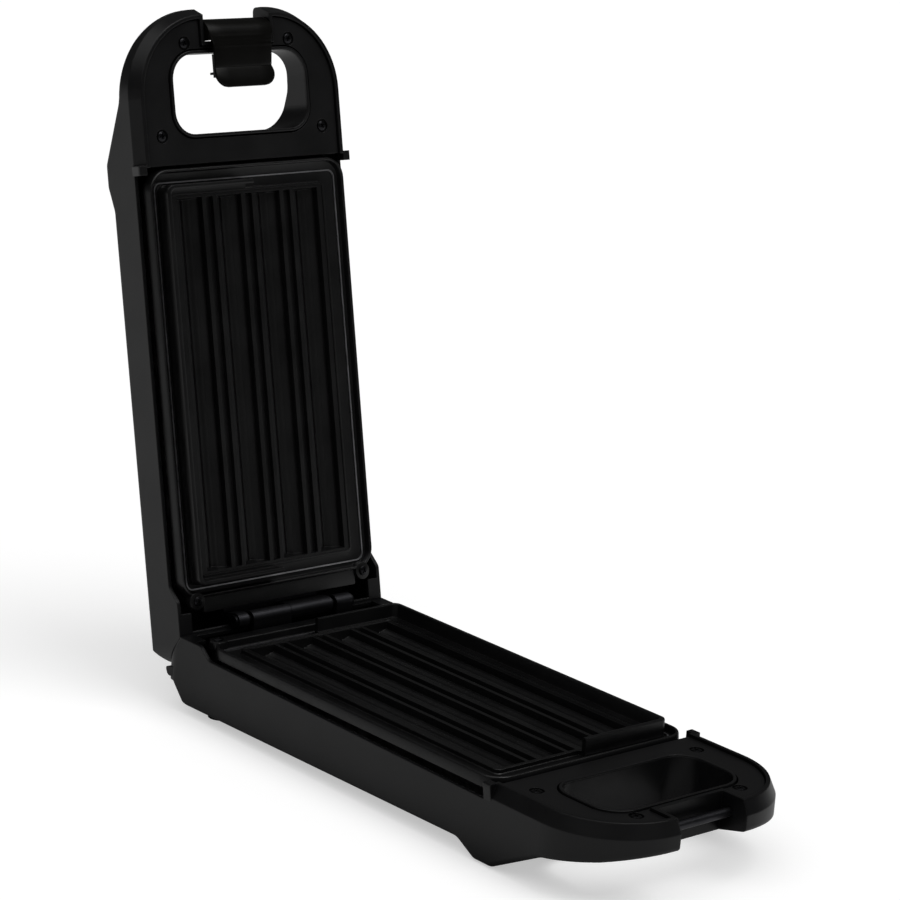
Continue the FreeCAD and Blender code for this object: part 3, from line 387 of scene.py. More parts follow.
CASING_PLASTIC = MouldedPlastic("casing_plastic", "satin_black_plastic", (0.0040, 0.0040, 0.0043), 0.34,
                                edge=1.1 * MM)
COVER_PLASTIC = MouldedPlastic("cover_plastic", "gloss_black_plastic", (0.0042, 0.0042, 0.0045), 0.36)
# Painted shade: the covers' gloss plastic again, made darker and much less shiny, so the latch reads darker.
SHADED_LATCH_PLASTIC = MouldedPlastic("shaded_latch_plastic", "gloss_black_plastic", (0.0027, 0.0026, 0.0021), 0.36,
                               shine=0.15)
# Painted shade: the lid casing's satin plastic again, made darker and less shiny, with deeper painted shade
# over a wider reach in hollows, so the base reads darker.
SHADED_BASE_PLASTIC = MouldedPlastic("shaded_base_plastic", "satin_black_plastic", (0.0036, 0.0036, 0.0039), 0.34,
                              shine=0.27, edge=1.1 * MM, shade_reach=40 * MM, shaded_shine=0.12)
PLATE_COATING = NonstickCoating("plate_coating", "nonstick_aluminium", (0.0022, 0.0022, 0.0024),
                                (0.0045, 0.0045, 0.0048), 0.34)
BLACK_ZINC = Metal("black_zinc", "black_steel", (0.05, 0.05, 0.055), 0.4)
BLACKED_PIN = Metal("blacked_pin", "black_steel", (0.025, 0.025, 0.027), 0.36, Lay.ACROSS)
SCREW_BLACK = Metal("screw_black", "black_steel", (0.035, 0.035, 0.038), 0.3)
BRIGHT_STEEL = Metal("bright_steel", "plain_steel", (0.5, 0.5, 0.51), 0.32, Lay.ACROSS)
TRAY_STEEL = Metal("tray_steel", "sheet_steel", (0.6, 0.6, 0.62), 0.35, Lay.ALONG, 0.4)
ELEMENT_STEEL = Metal("element_steel", "element_sheath", (0.3, 0.31, 0.3), 0.5, Lay.NONE, 0.5)
FOOT_RUBBER = Rubber("foot_rubber", "black_rubber", (0.012, 0.012, 0.012))
RED_LENS = LampPlastic("lens_plastic", "red_lens", (0.75, 0.04, 0.03), 0.7)
LAMP_GLASS = LampPlastic("bulb_glass", "lamp_glass", (0.9, 0.86, 0.8), 0.9)
WHITE_CERAMIC = FiredClay("white_ceramic", "ceramic", (0.8, 0.77, 0.71), 0.3)
BROWN_PHENOLIC = FiredClay("brown_phenolic", "phenolic", (0.07, 0.045, 0.03), 0.45)

NODE_FINISHES = {
    CASING_PLASTIC: ("lid_casing",),
    SHADED_BASE_PLASTIC: ("base_casing",),
    COVER_PLASTIC: ("base_handle_cover", "lid_handle_cover"),
    SHADED_LATCH_PLASTIC: ("latch",),
    PLATE_COATING: ("lower_plate", "upper_plate"),
    BLACK_ZINC: ("base_hinge_bracket", "lid_hinge_bracket", "latch_bar", "lower_plate_screws",
                 "upper_plate_screws", "base_handle_cover_screws", "lid_handle_cover_screws"),
    BLACKED_PIN: ("hinge_pin",),
    BRIGHT_STEEL: ("latch_pin", "base_hinge_screws", "lid_hinge_screws",
                   "lower_tray_screws", "upper_tray_screws", "thermal_fuse"),
    TRAY_STEEL: ("lower_heat_tray", "upper_heat_tray"),
    ELEMENT_STEEL: ("lower_heating_element", "upper_heating_element"),
    FOOT_RUBBER: ("rear_feet", "front_feet", "cord_inlet_bush"),
    RED_LENS: ("indicator_lenses",),
    LAMP_GLASS: ("indicator_lamps",),
    WHITE_CERAMIC: ("thermostat",),
    BROWN_PHENOLIC: ("terminal_block",),
}


# ---- studio
@dataclass(frozen=True)
class Viewpoint:
    """Camera that looks down on the open machine from its front left corner."""

    target: Point = (0.08859, 0.09397, 0.15682)
    azimuth: float = -42.108
    elevation: float = 15.084
    roll: float = 4.214
    distance: float = 1.9845
    lens: float = 127.06
    film_width: float = 36.0
    nearest: float = 0.01

    def build(self) -> None:
        """Adds the camera and makes it the scene's."""
        turn, tilt, roll = (math.radians(angle) for angle in (self.azimuth, self.elevation, self.roll))
        right = Vector((math.cos(turn), math.sin(turn), 0))
        back = Vector((math.sin(turn) * math.cos(tilt), -math.cos(turn) * math.cos(tilt), math.sin(tilt)))
        up = back.cross(right)
        across = right * math.cos(roll) + up * math.sin(roll)
        upward = up * math.cos(roll) - right * math.sin(roll)
        place = Vector(self.target) + back * self.distance
        lens = bpy.data.cameras.new("camera")
        lens.lens = self.lens
        lens.sensor_width = self.film_width
        lens.clip_start = self.nearest
        camera = bpy.data.objects.new("camera", lens)
        columns = [(*axis, 0) for axis in (across, upward, back)] + [(*place, 1)]
        camera.matrix_world = Matrix(columns).transposed()
        bpy.context.scene.collection.objects.link(camera)
        bpy.context.scene.camera = camera


@dataclass(frozen=True)
class SoftSun:
    """Broad lamp so far away that it lights the whole floor alike."""

    name: str
    azimuth: float
    elevation: float
    strength: float
    spread: float

    def build(self) -> None:
        """Adds the lamp."""
        lamp = bpy.data.lights.new(self.name, "SUN")
        lamp.energy = self.strength
        lamp.angle = math.radians(self.spread)
        piece = bpy.data.objects.new(self.name, lamp)
        piece.rotation_euler = (math.radians(90 - self.elevation), 0, math.radians(self.azimuth))
        bpy.context.scene.collection.objects.link(piece)


@dataclass(frozen=True)
class Studio:
    """Pale floor, white backdrop and soft lamps in dim surroundings."""

    floor_reach: float = 12.0
    floor_colour: Colour = (0.7, 0.7, 0.7)
    floor_mottle: Clouds = Clouds(60 * MM, 4.0)
    floor_tint: float = 0.99
    floor_roughness: float = 0.9
    floor_shine: float = 0.1
    floor_lift: float = 0.48
    backdrop: float = 1.0
    ambient: float = 0.32
    mirrored: float = 0.05
    lamps: tuple[SoftSun, ...] = (
        SoftSun("key_lamp", 30.0, 62.0, 0.9, 40.0),
        SoftSun("top_lamp", -80.0, 70.0, 0.8, 70.0),
    )

    def build(self) -> None:
        """Adds the floor, the world and the lamps, and shows colours as they are."""
        bpy.context.scene.view_settings.view_transform = "Standard"
        self.build_floor()
        self.build_world()
        for lamp in self.lamps:
            lamp.build()

    def build_floor(self) -> None:
        """Adds the floor, which shows white to the camera except where a shadow lies on it."""
        mesh = bpy.data.meshes.new("floor")
        reach = self.floor_reach
        corners = [(-reach, -reach, 0), (reach, -reach, 0), (reach, reach, 0), (-reach, reach, 0)]
        mesh.from_pydata(corners, [], [range(len(corners))])
        floor = bpy.data.objects.new("floor", mesh)
        bpy.context.scene.collection.objects.link(floor)
        mesh.materials.append(self.floor_material())

    def floor_material(self) -> bpy.types.Material:
        """Pale matte paint with a little mottle, lifted to white where the camera sees it.

        Returns:
            The material.
        """
        sheet = Sheet("floor_paint")
        mottle = sheet.spread(sheet.noise(self.floor_mottle), 0, 1)
        seen = sheet.add("LightPath", "Is Camera Ray")
        return sheet.wear(
            Base_Color=sheet.between(mottle, self.floor_colour, darker(self.floor_colour, self.floor_tint)),
            Roughness=self.floor_roughness, Specular_IOR_Level=self.floor_shine, Emission_Color=WHITE,
            Emission_Strength=sheet.spread(seen, 0, self.floor_lift, 0, 1))

    def build_world(self) -> None:
        """White surroundings for the camera, a plain level for the light and a dim one for reflections."""
        world = bpy.data.worlds.new("surroundings")
        world.use_nodes = True
        graph = Graph(world.node_tree)
        level = self.ambient
        rays = {"Glossy": self.mirrored, "Transmission": self.backdrop, "Camera": self.backdrop}
        for ray, shown in rays.items():
            level = graph.spread(graph.add("LightPath", f"Is {ray} Ray"), level, shown, 0, 1)
        graph.fill(graph.tree.nodes["Background"], Color=WHITE, Strength=level)
        bpy.context.scene.world = world


# ---- halves and mesh shop
@dataclass(frozen=True)
class Half:
    """One half of the machine, the base with the hand -1 because it is the lid turned over.

    Its pieces are drawn in millimetres across, from the hinge and down from the joint.
    """

    body: str
    opening: float
    hand: float

    def matrix(self) -> Matrix:
        """Carries a drawing of this half to its place in the open machine.

        Returns:
            The matrix from the half's millimetres to metres.
        """
        hinge = frame["joints"][0]["pos_m"]
        turn = math.radians(self.opening)
        along = Vector((0, -math.cos(turn), math.sin(turn)))
        down = Vector((0, math.sin(turn), math.cos(turn))) * self.hand
        columns = (Vector((self.hand, 0, 0)), along, down)
        turned = Matrix([[column[row] * MM for column in columns] for row in range(3)]).to_4x4()
        return Matrix.Translation(Vector(hinge)) @ turned


BASE = Half("base", 0.0, -1.0)
LID = Half("lid", frame["joints"][0]["range_deg"][1], 1.0)


class Casting:
    """A mesh under construction, from rows of points."""

    def __init__(self) -> None:
        """Starts an empty mesh."""
        self.mesh = bmesh.new()

    def bridge(self, first: Row, second: Row, closed: bool = True) -> None:
        """Joins two rows of as many points by quads.

        Args:
            first: one row.
            second: the other row.
            closed: whether the rows run back to their start.
        """
        count = len(first)
        for i in range(count if closed else count - 1):
            j = (i + 1) % count
            self.mesh.faces.new((first[i], first[j], second[j], second[i]))

    def stack(self, rows: list[list[Point]], closed: bool = True) -> list[Row]:
        """Adds rows of points and joins each to the next.

        Args:
            rows: the rows of points.
            closed: whether each row runs back to its start.

        Returns:
            The rows of the mesh.
        """
        loops = [[self.mesh.verts.new(point) for point in row] for row in rows]
        for first, second in zip(loops, loops[1:]):
            self.bridge(first, second, closed)
        return loops

    def cap(self, row: Row) -> None:
        """Closes a row of points with one face."""
        self.mesh.faces.new(row)

    def solid(self, rows: list[list[Point]]) -> None:
        """Adds rows of points, joins each to the next and closes both ends.

        Args:
            rows: the rows of points.
        """
        loops = self.stack(rows)
        self.cap(loops[0])
        self.cap(loops[-1])

    def finish(self, name: str, half: Half, finish: Finish, *nodes: str, crease: float = 32.0,
               body: str | None = None, drawn: bool = True) -> None:
        """Sets the mesh in its place in the machine and makes a piece of it.

        Args:
            name: name of the piece.
            half: the half that it belongs to.
            finish: its finish.
            nodes: the modelled nodes that it stands for.
            crease: edges sharper than this angle stay sharp.
            body: the body that it rides on, if not the half's own.
            drawn: whether it is drawn in the half, and not yet in its place.
        """
        if drawn:
            self.mesh.transform(half.matrix())
            bmesh.ops.recalc_face_normals(self.mesh, faces=self.mesh.faces)
            for face in self.mesh.faces:
                face.smooth = True
        for edge in self.mesh.edges:
            edge.smooth = len(edge.link_faces) == 2 and edge.calc_face_angle(0.0) < math.radians(crease)
        data = bpy.data.meshes.new(name)
        self.mesh.to_mesh(data)
        self.mesh.free()
        data.materials.append(finish.material())
        piece = bpy.data.objects.new(name, data)
        bpy.context.scene.collection.objects.link(piece)
        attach(piece, body or half.body)
        if nodes:
            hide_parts(*nodes)
        log.info("%s is made", name)


def arcs(corners: list[Point], depth: float, steps: int = ARC_STEPS) -> list[Point]:
    """Closed row of points over four quarter arcs.

    Args:
        corners: centre across, centre from the hinge and radius of each arc.
        depth: depth of the row.
        steps: pieces of each arc.

    Returns:
        The points.
    """
    points = []
    for quarter, (u, v, radius) in enumerate(corners):
        for step in range(steps + 1):
            turn = math.pi / 2 * (quarter + step / steps)
            points.append((u + radius * math.cos(turn), v + radius * math.sin(turn), depth))
    return points


def rounded_rectangle(half_width: float, rear: float, front: float, corner: float,
                      depth: float) -> list[Point]:
    """Closed row of points round a rectangle with rounded corners.

    Args:
        half_width: half its width.
        rear: its edge towards the hinge.
        front: its edge towards the handle.
        corner: radius of its corners.
        depth: depth of the row.

    Returns:
        The points, as many for every rectangle.
    """
    middle = half_width - corner
    return arcs([(middle, front - corner, corner), (-middle, front - corner, corner),
                 (-middle, rear + corner, corner), (middle, rear + corner, corner)], depth)


def circle(radius: float, count: int) -> list[Place]:
    """Points round a circle about the origin."""
    turns = [2 * math.pi * i / count for i in range(count)]
    return [(radius * math.cos(turn), radius * math.sin(turn)) for turn in turns]


def ridge(width: float, top: float, edge: Profile) -> list[Place]:
    """Inset and depth of the points over a ridge with rounded edges.

    Args:
        width: width of the ridge.
        top: depth of its top.
        edge: inset and drop of the points of one edge.

    Returns:
        The points, from its outer side to its inner one.
    """
    outer = [(inset, top + drop) for inset, drop in edge]
    return outer + [(width - inset, depth) for inset, depth in reversed(outer)]


def eased(profile: Profile, place: float) -> float:
    """Height of a line at a place, which leaves each of the line's points gently.

    Args:
        profile: place and height of the line's points.
        place: the place.

    Returns:
        The height, level beyond both ends.
    """
    for (start, first), (end, second) in zip(profile, profile[1:]):
        if place <= end:
            share = max(0.0, place - start) / (end - start)
            return first + (second - first) * (3 - 2 * share) * share * share
    return profile[-1][1]


@dataclass
class MadePiece:
    """Piece that is built up in a casting of its own."""

    casting: Casting = field(default_factory=Casting, kw_only=True)


# ---- plates
@dataclass
class Plate(MadePiece):
    """Cast plate: beaded rim, valley, block with six-lobed grooves, half a lip, strip and ears."""

    half: Half
    name: str
    node: str
    half_width: float = 75.0
    rear: float = 17.6
    front: float = 279.6
    corner: float = 13.0
    top: float = 3.44
    valley: float = 8.3
    skirt_insets: Place = (2.4, -0.6)
    skirt_foot: float = 10.4
    bead: float = 2.0
    bead_steps: int = 6
    bead_outside: Place = (-0.1, 1.2)
    soft_edge: Profile = ((0.0, 0.9), (0.25, 0.25), (0.9, 0.0))
    block_half_width: float = 59.4
    block_rear: float = 29.5
    block_front: float = 264.6
    block_top: float = 5.5
    block_back: float = 17.9
    block_corner: float = 3.0
    block_draft: float = 0.4
    block_foot: Profile = ((1.0, 0.0), (0.35, 0.1), (0.0, 0.5))
    block_brow: Profile = ((0.3, 0.3), (0.1, 0.08), (-0.2, 0.0))
    brow_land: float = 0.25
    lip_half_width: float = 67.5
    lip_rear: float = 25.5
    lip_front: float = 270.3
    lip_corner: float = 5.0
    lip_width: float = 3.0
    lip_top: float = -3.2
    lip_start: float = 2.0
    lip_foot: Profile = ((0.0, 0.5), (0.15, 0.12), (0.6, 0.0))
    groove_count: int = 4
    groove_half_width: float = 9.5
    groove_side: float = 4.9
    groove_rear: float = 32.4
    groove_front: float = 261.6
    groove_slope: float = 2.1
    groove_wall: float = 0.12
    lobe: float = 10.5
    star: Profile = ((60.0, 8.0), (30.0, 10.5), (12.0, 9.4))
    sink: float = 1.0
    deepest: float = 8.9
    crest: float = 2.7
    channel_depth: float = 3.4
    channel_slope: float = 0.5
    field_side: float = 1.2
    field_depth: float = 0.6
    field_overlap: float = 0.2
    lines_in_groove: int = 24
    lines_in_end: int = 14
    lines_between: int = 24
    line_gap: float = 0.04
    strip_half_width: float = 60.0
    strip_rear: float = 8.0
    strip_corner: float = 1.0
    strip_profile: Profile = ((0.0, 7.2), (0.0, 5.1), (0.1, 4.88), (0.35, 4.8))
    ear_radius: float = 5.6
    ear_top: float = 3.2
    ear_edge: Profile = ((0.0, 0.5), (0.15, 0.15), (0.5, 0.0))
    ear_sides: int = 40

    def build(self) -> None:
        """Builds the plate."""
        self.pan()
        self.field()
        self.lip()
        self.strip()
        self.ears()
        self.casting.finish(self.name, self.half, PLATE_COATING, self.node)

    def pan(self) -> None:
        """Back, skirt, bead, valley and the block's drafted sides, as rings from back to front."""
        back = [self.block_ring(self.block_draft, depth, self.block_corner)
                for depth in (self.block_back, self.skirt_foot)]
        rim = [rounded_rectangle(self.half_width - inset, self.rear + inset, self.front - inset,
                                 self.corner - inset, depth) for inset, depth in self.rim_profile()]
        block = [self.block_ring(grow, depth, self.block_corner + min(grow, self.block_draft))
                 for grow, depth in self.block_profile()]
        self.casting.cap(self.casting.stack(back + rim + block)[0])

    def block_ring(self, grow: float, depth: float, corner: float) -> list[Point]:
        """Ring round the block, larger than its top by so much on each side."""
        return rounded_rectangle(self.block_half_width + grow, self.block_rear - grow,
                                 self.block_front + grow, corner, depth)

    def rim_profile(self) -> list[Place]:
        """Profile of the rim.

        Returns:
            Inset and depth of each ring, from the skirt's foot over the bead to the valley.
        """
        ring = [(inset, self.skirt_foot) for inset in self.skirt_insets]
        ring.append((self.bead_outside[0], self.top + self.bead_outside[1]))
        radius = self.bead / 2
        for step in range(self.bead_steps + 1):
            turn = math.pi * step / self.bead_steps
            ring.append((radius - radius * math.cos(turn), self.top + radius * (1 - math.sin(turn))))
        return ring + [(self.bead + inset, self.valley - rise) for inset, rise in self.soft_edge]

    def block_profile(self) -> list[Place]:
        """Profile of the block's side.

        Returns:
            Growth and depth of each ring, from the valley to the edge of the field.
        """
        foot = [(self.block_draft + grow, self.valley - rise) for grow, rise in self.block_foot]
        brow = [(grow, self.block_top + drop) for grow, drop in self.block_brow]
        return foot + brow + [(self.brow_land - self.field_side, self.block_top),
                              (-self.field_side, self.block_top + self.field_depth)]

    def star_wall(self) -> list[Place]:
        """Wall of a six-lobed star, below the middle of its groove.

        Returns:
            Distance from the middle and depth of its points.
        """
        turns = [(math.radians(degrees), reach) for degrees, reach in self.star]
        points = [(reach * math.cos(turn), reach * math.sin(turn)) for turn, reach in turns]
        return [(0.0, self.lobe), *points, (self.groove_half_width, 0.0)]

    def depth_across(self, u: float, centres: list[float]) -> float:
        """Depth of the grooves' and channels' floor below the block's top.

        Args:
            u: place across.
            centres: middles of the grooves.

        Returns:
            The depth.
        """
        offset = min(abs(u - centre) for centre in centres)
        if offset < self.groove_half_width:
            star = eased(self.star_wall(), offset) / self.lobe
            return max(self.field_depth, self.sink + (self.deepest - self.sink) * star)
        beyond = offset - self.groove_half_width - self.crest
        if beyond <= 0 or abs(u) > centres[-1] + self.groove_half_width:
            return self.field_depth
        share = min(1.0, beyond / self.channel_slope)
        return self.field_depth + (self.channel_depth - self.field_depth) * share

    def field(self) -> None:
        """The grooves and channels, as a grid whose lines follow their corners and their steep ends."""
        last = self.block_half_width - self.groove_side - self.groove_half_width
        pitch = 2 * last / (self.groove_count - 1)
        centres = [i * pitch - last for i in range(self.groove_count)]
        across = self.lines_across(centres)
        rows = []
        for v in self.lines_along():
            run = max(0.0, min(v - self.groove_rear, self.groove_front - v))
            limit = self.field_depth + run * (self.sink + self.lobe) / self.groove_slope
            rows.append([(u, v, self.block_top + min(self.depth_across(u, centres), limit)) for u in across])
        self.casting.stack(rows, closed=False)

    def lines_across(self, centres: list[float]) -> list[float]:
        """Places across of the grid's lines.

        Args:
            centres: middles of the grooves.

        Returns:
            The places, from left to right.
        """
        half = self.groove_half_width
        edge = self.block_half_width - self.field_side + self.field_overlap
        stops = [half, half - self.groove_wall, half + self.crest, half + self.crest + self.channel_slope]
        stops += [offset for offset, _ in self.star_wall()]
        stops += [half * step / self.lines_in_groove for step in range(self.lines_in_groove + 1)]
        places = {round(centre + side * stop, 3) for centre in centres for stop in stops for side in SIDES}
        kept = sorted({-edge, edge, *(u for u in places if abs(u) <= edge)})
        return [u for i, u in enumerate(kept) if i == 0 or u - kept[i - 1] > self.line_gap or u == edge]

    def lines_along(self) -> list[float]:
        """Places of the grid's lines from the hinge to the handle.

        Returns:
            The places.
        """
        margin = self.field_side - self.field_overlap
        runs = [self.groove_slope * step / self.lines_in_end for step in range(self.lines_in_end + 1)]
        rear = [self.block_rear + margin] + [self.groove_rear + run for run in runs]
        front = [self.groove_front - run for run in reversed(runs)] + [self.block_front - margin]
        step = (front[0] - rear[-1]) / self.lines_between
        return rear + [rear[-1] + step * i for i in range(1, self.lines_between)] + front

    def lip(self) -> None:
        """Raised lip round the left half of the block, and the filled valley inside it."""
        foot = [(self.lip_width + inset, self.block_top - rise) for inset, rise in self.lip_foot]
        profile = [(0.0, self.valley), *ridge(self.lip_width, self.lip_top, self.soft_edge), *foot]
        rows = [rounded_rectangle(self.lip_half_width - inset, self.lip_rear + inset, self.lip_front - inset,
                                  self.lip_corner - inset / 2, depth) for inset, depth in profile]
        rows += [self.block_ring(-self.block_draft, depth, self.block_corner)
                 for depth in (self.block_top, self.valley)]
        loops = self.casting.stack([self.left_half(row) for row in rows], closed=False)
        for end in (0, -1):
            self.casting.cap([row[end] for row in loops])

    def left_half(self, row: list[Point]) -> list[Point]:
        """Left half of a closed row round a rectangle, as an open row.

        Args:
            row: the closed row.

        Returns:
            The points, from the hinge's end to the handle's.
        """
        count = ARC_STEPS + 1
        left = row[count:3 * count][::-1]
        rear, front = left[0][1:], left[-1][1:]
        return [(-self.lip_start, *rear), *left, (-self.lip_start, *front)]

    def strip(self) -> None:
        """Flat strip towards the hinge, below the bead."""
        self.casting.solid([rounded_rectangle(self.strip_half_width - inset, self.strip_rear + inset,
                                         self.rear + self.strip_corner, self.strip_corner, depth)
                       for inset, depth in self.strip_profile])

    def ears(self) -> None:
        """Round ears that the plate is screwed down by."""
        edge = [(self.ear_radius - inset, self.ear_top + drop) for inset, drop in self.ear_edge]
        u, v = EAR_PLACE
        for side in SIDES:
            self.casting.solid([[(side * u + x, v + y, depth) for x, y in circle(radius, self.ear_sides)]
                           for radius, depth in [(self.ear_radius, self.valley), *edge]])


# ---- handles
@dataclass
class CrossScrews(MadePiece):
    """Pan-head screws with a cross recess, all of one node and the same on both sides."""

    half: Half
    name: str
    node: str
    places: tuple[Place, ...]
    top: float
    foot: float
    turns: tuple[float, ...] = (12.0, 57.0, 31.0, 74.0)
    sides: int = 32
    head_radius: float = 3.05
    head: float = 1.5
    head_side: float = 0.2
    dome: float = 0.55
    dome_rings: tuple[float, ...] = (0.66, 0.8, 0.9, 0.97)
    dome_fall: float = 3.2
    shank_radius: float = 1.4
    arm: float = 0.42
    arm_flat: float = 0.6
    arm_middle: float = 0.45
    arm_end: float = 0.97
    reach: float = 1.75
    cross_top: float = 0.03
    cross_depth: float = 1.1
    taper: float = 0.72
    crease: float = 38.0

    def build(self) -> None:
        """Builds the screws."""
        places = [(side * u, v) for side in SIDES for u, v in self.places]
        for place, turn in zip(places, self.turns):
            self.screw(place, math.radians(turn))
        self.casting.finish(self.name, self.half, SCREW_BLACK, self.node, crease=self.crease)

    def cross(self, scale: float) -> list[Place]:
        """Outline of the cross recess.

        Args:
            scale: size of the outline as a share of the recess's mouth.

        Returns:
            As many points as the head has sides, from the middle of one arm's end.
        """
        arm, reach = self.arm * scale, self.reach * scale
        middle, end, flat = arm + (reach - arm) * self.arm_middle, reach * self.arm_end, arm * self.arm_flat
        quarter = [(reach, 0.0), (reach, flat), (end, arm), (middle, arm), (arm, arm), (arm, middle),
                   (arm, end), (flat, reach)]
        outline = []
        for _ in range(4):
            outline += quarter
            quarter = [(-y, x) for x, y in quarter]
        return outline

    def screw(self, place: Place, turn: float) -> None:
        """Adds one screw, from the bottom of its cross over its head to the end of its shank.

        Args:
            place: its axis across and from the hinge.
            turn: turn of its cross.
        """
        domed = [(circle(self.head_radius * share, self.sides), self.dome * share ** self.dome_fall)
                 for share in self.dome_rings]
        rim, shank = circle(self.head_radius, self.sides), circle(self.shank_radius, self.sides)
        outlines = [(self.cross(self.taper), self.cross_depth), (self.cross(1.0), self.cross_top), *domed,
                    (rim, self.dome + self.head_side), (rim, self.head), (shank, self.head),
                    (shank, self.foot - self.top)]
        u, v = place
        cosine, sine = math.cos(turn), math.sin(turn)
        self.casting.solid([[(u + x * cosine - y * sine, v + x * sine + y * cosine, self.top + depth)
                        for x, y in outline] for outline, depth in outlines])


@dataclass
class OpeningBead(MadePiece):
    """Rounded bead round the hand opening, on top of the casing's wall."""

    half: Half
    name: str
    half_width: float = 51.0
    rear: float = 299.7
    front: float = 348.3
    rear_corner: float = 14.0
    front_corner: float = 16.0
    width: float = 2.0
    foot: float = 5.3
    top: float = 4.2
    edge: Profile = ((0.0, 0.45), (0.14, 0.16), (0.5, 0.0))
    steps: int = 12

    def build(self) -> None:
        """Builds the bead."""
        profile = [(0.0, self.foot), *ridge(self.width, self.top, self.edge), (self.width, self.foot)]
        loops = self.casting.stack([self.row(outset, depth) for outset, depth in profile])
        self.casting.bridge(loops[-1], loops[0])
        self.casting.finish(self.name, self.half, COVER_PLASTIC)

    def row(self, outset: float, depth: float) -> list[Point]:
        """Closed row of points round the opening.

        Args:
            outset: distance outside the opening's edge.
            depth: depth of the row.

        Returns:
            The points.
        """
        front, rear = self.front_corner, self.rear_corner
        return arcs([(self.half_width - front, self.front - front, front + outset),
                     (front - self.half_width, self.front - front, front + outset),
                     (rear - self.half_width, self.rear + rear, rear + outset),
                     (self.half_width - rear, self.rear + rear, rear + outset)], depth, self.steps)


@dataclass
class FittedCover(MadePiece):
    """Handle cover with the gap that its mould leaves on every side."""

    half: Half
    name: str
    node: str
    gap: float = 0.5 * MM
    weld: float = 0.002 * MM
    upright: float = 0.3
    same_wall: float = 0.98
    crease: float = 35.0

    def build(self) -> None:
        """Copies the modelled cover and draws its upright walls inwards by the gap."""
        source = frame["nodes"][self.node]
        mesh = self.casting.mesh
        mesh.from_mesh(source.data)
        mesh.transform(source.matrix_world)
        bmesh.ops.remove_doubles(mesh, verts=mesh.verts, dist=self.weld)
        down = self.half.matrix().col[2].to_3d().normalized()
        shifts = {vertex: self.inward(vertex, down) for vertex in mesh.verts}
        for vertex, shift in shifts.items():
            vertex.co += shift
        self.casting.finish(self.name, self.half, COVER_PLASTIC, self.node, crease=self.crease, drawn=False)

    def inward(self, vertex: bmesh.types.BMVert, down: Vector) -> Vector:
        """Shift of a point into the cover, away from the walls that meet there.

        Args:
            vertex: the point.
            down: direction of the cover's depth.

        Returns:
            The shift.
        """
        walls = []
        for face in vertex.link_faces:
            upright = abs(face.normal.dot(down)) < self.upright
            if upright and not any(face.normal.dot(wall) > self.same_wall for wall in walls):
                walls.append(face.normal.copy())
        total = sum(walls, Vector())
        if total.length < self.upright:
            return Vector()
        return -total * self.gap * len(walls) / total.length_squared


@dataclass
class HandleFace:
    """What shows on a half's handle and ears: screws, the bead round the hand opening and the cover."""

    half: Half
    plate: str
    cover_screws: tuple[Place, ...] = ((62.0, 299.6), (40.1, 354.9))
    cover_screw_ends: Place = (5.0, 15.4)
    ear_screw_ends: Place = (1.7, 12.2)

    def build(self) -> None:
        """Builds the pieces."""
        prefix = self.half.body
        CrossScrews(self.half, f"{prefix}_cover_cross_screws", f"{prefix}_handle_cover_screws",
                    self.cover_screws, *self.cover_screw_ends).build()
        CrossScrews(self.half, f"{self.plate}_ear_cross_screws", f"{self.plate}_plate_screws",
                    (EAR_PLACE,), *self.ear_screw_ends).build()
        OpeningBead(self.half, f"{prefix}_opening_bead").build()
        FittedCover(self.half, f"{prefix}_fitted_cover", f"{prefix}_handle_cover").build()


@dataclass
class StopToes(MadePiece):
    """Flared toes below the base's stop, one at each side of its rear end."""

    name: str = "base_stop_toes"
    outline: Profile = ((-6.0, 24.6), (-9.0, 25.6), (-14.0, 26.6), (-16.2, 27.4), (-16.6, 28.6),
                        (-15.4, 31.2), (-14.2, 32.2), (-12.6, 32.5), (-8.3, 31.8), (-6.0, 31.2))
    span: Place = (68.0, 79.7)

    def build(self) -> None:
        """Builds the toes."""
        for side in SIDES:
            self.casting.solid([[(side * across, v, w) for v, w in self.outline] for across in self.span])
        self.casting.finish(self.name, BASE, SHADED_BASE_PLASTIC)


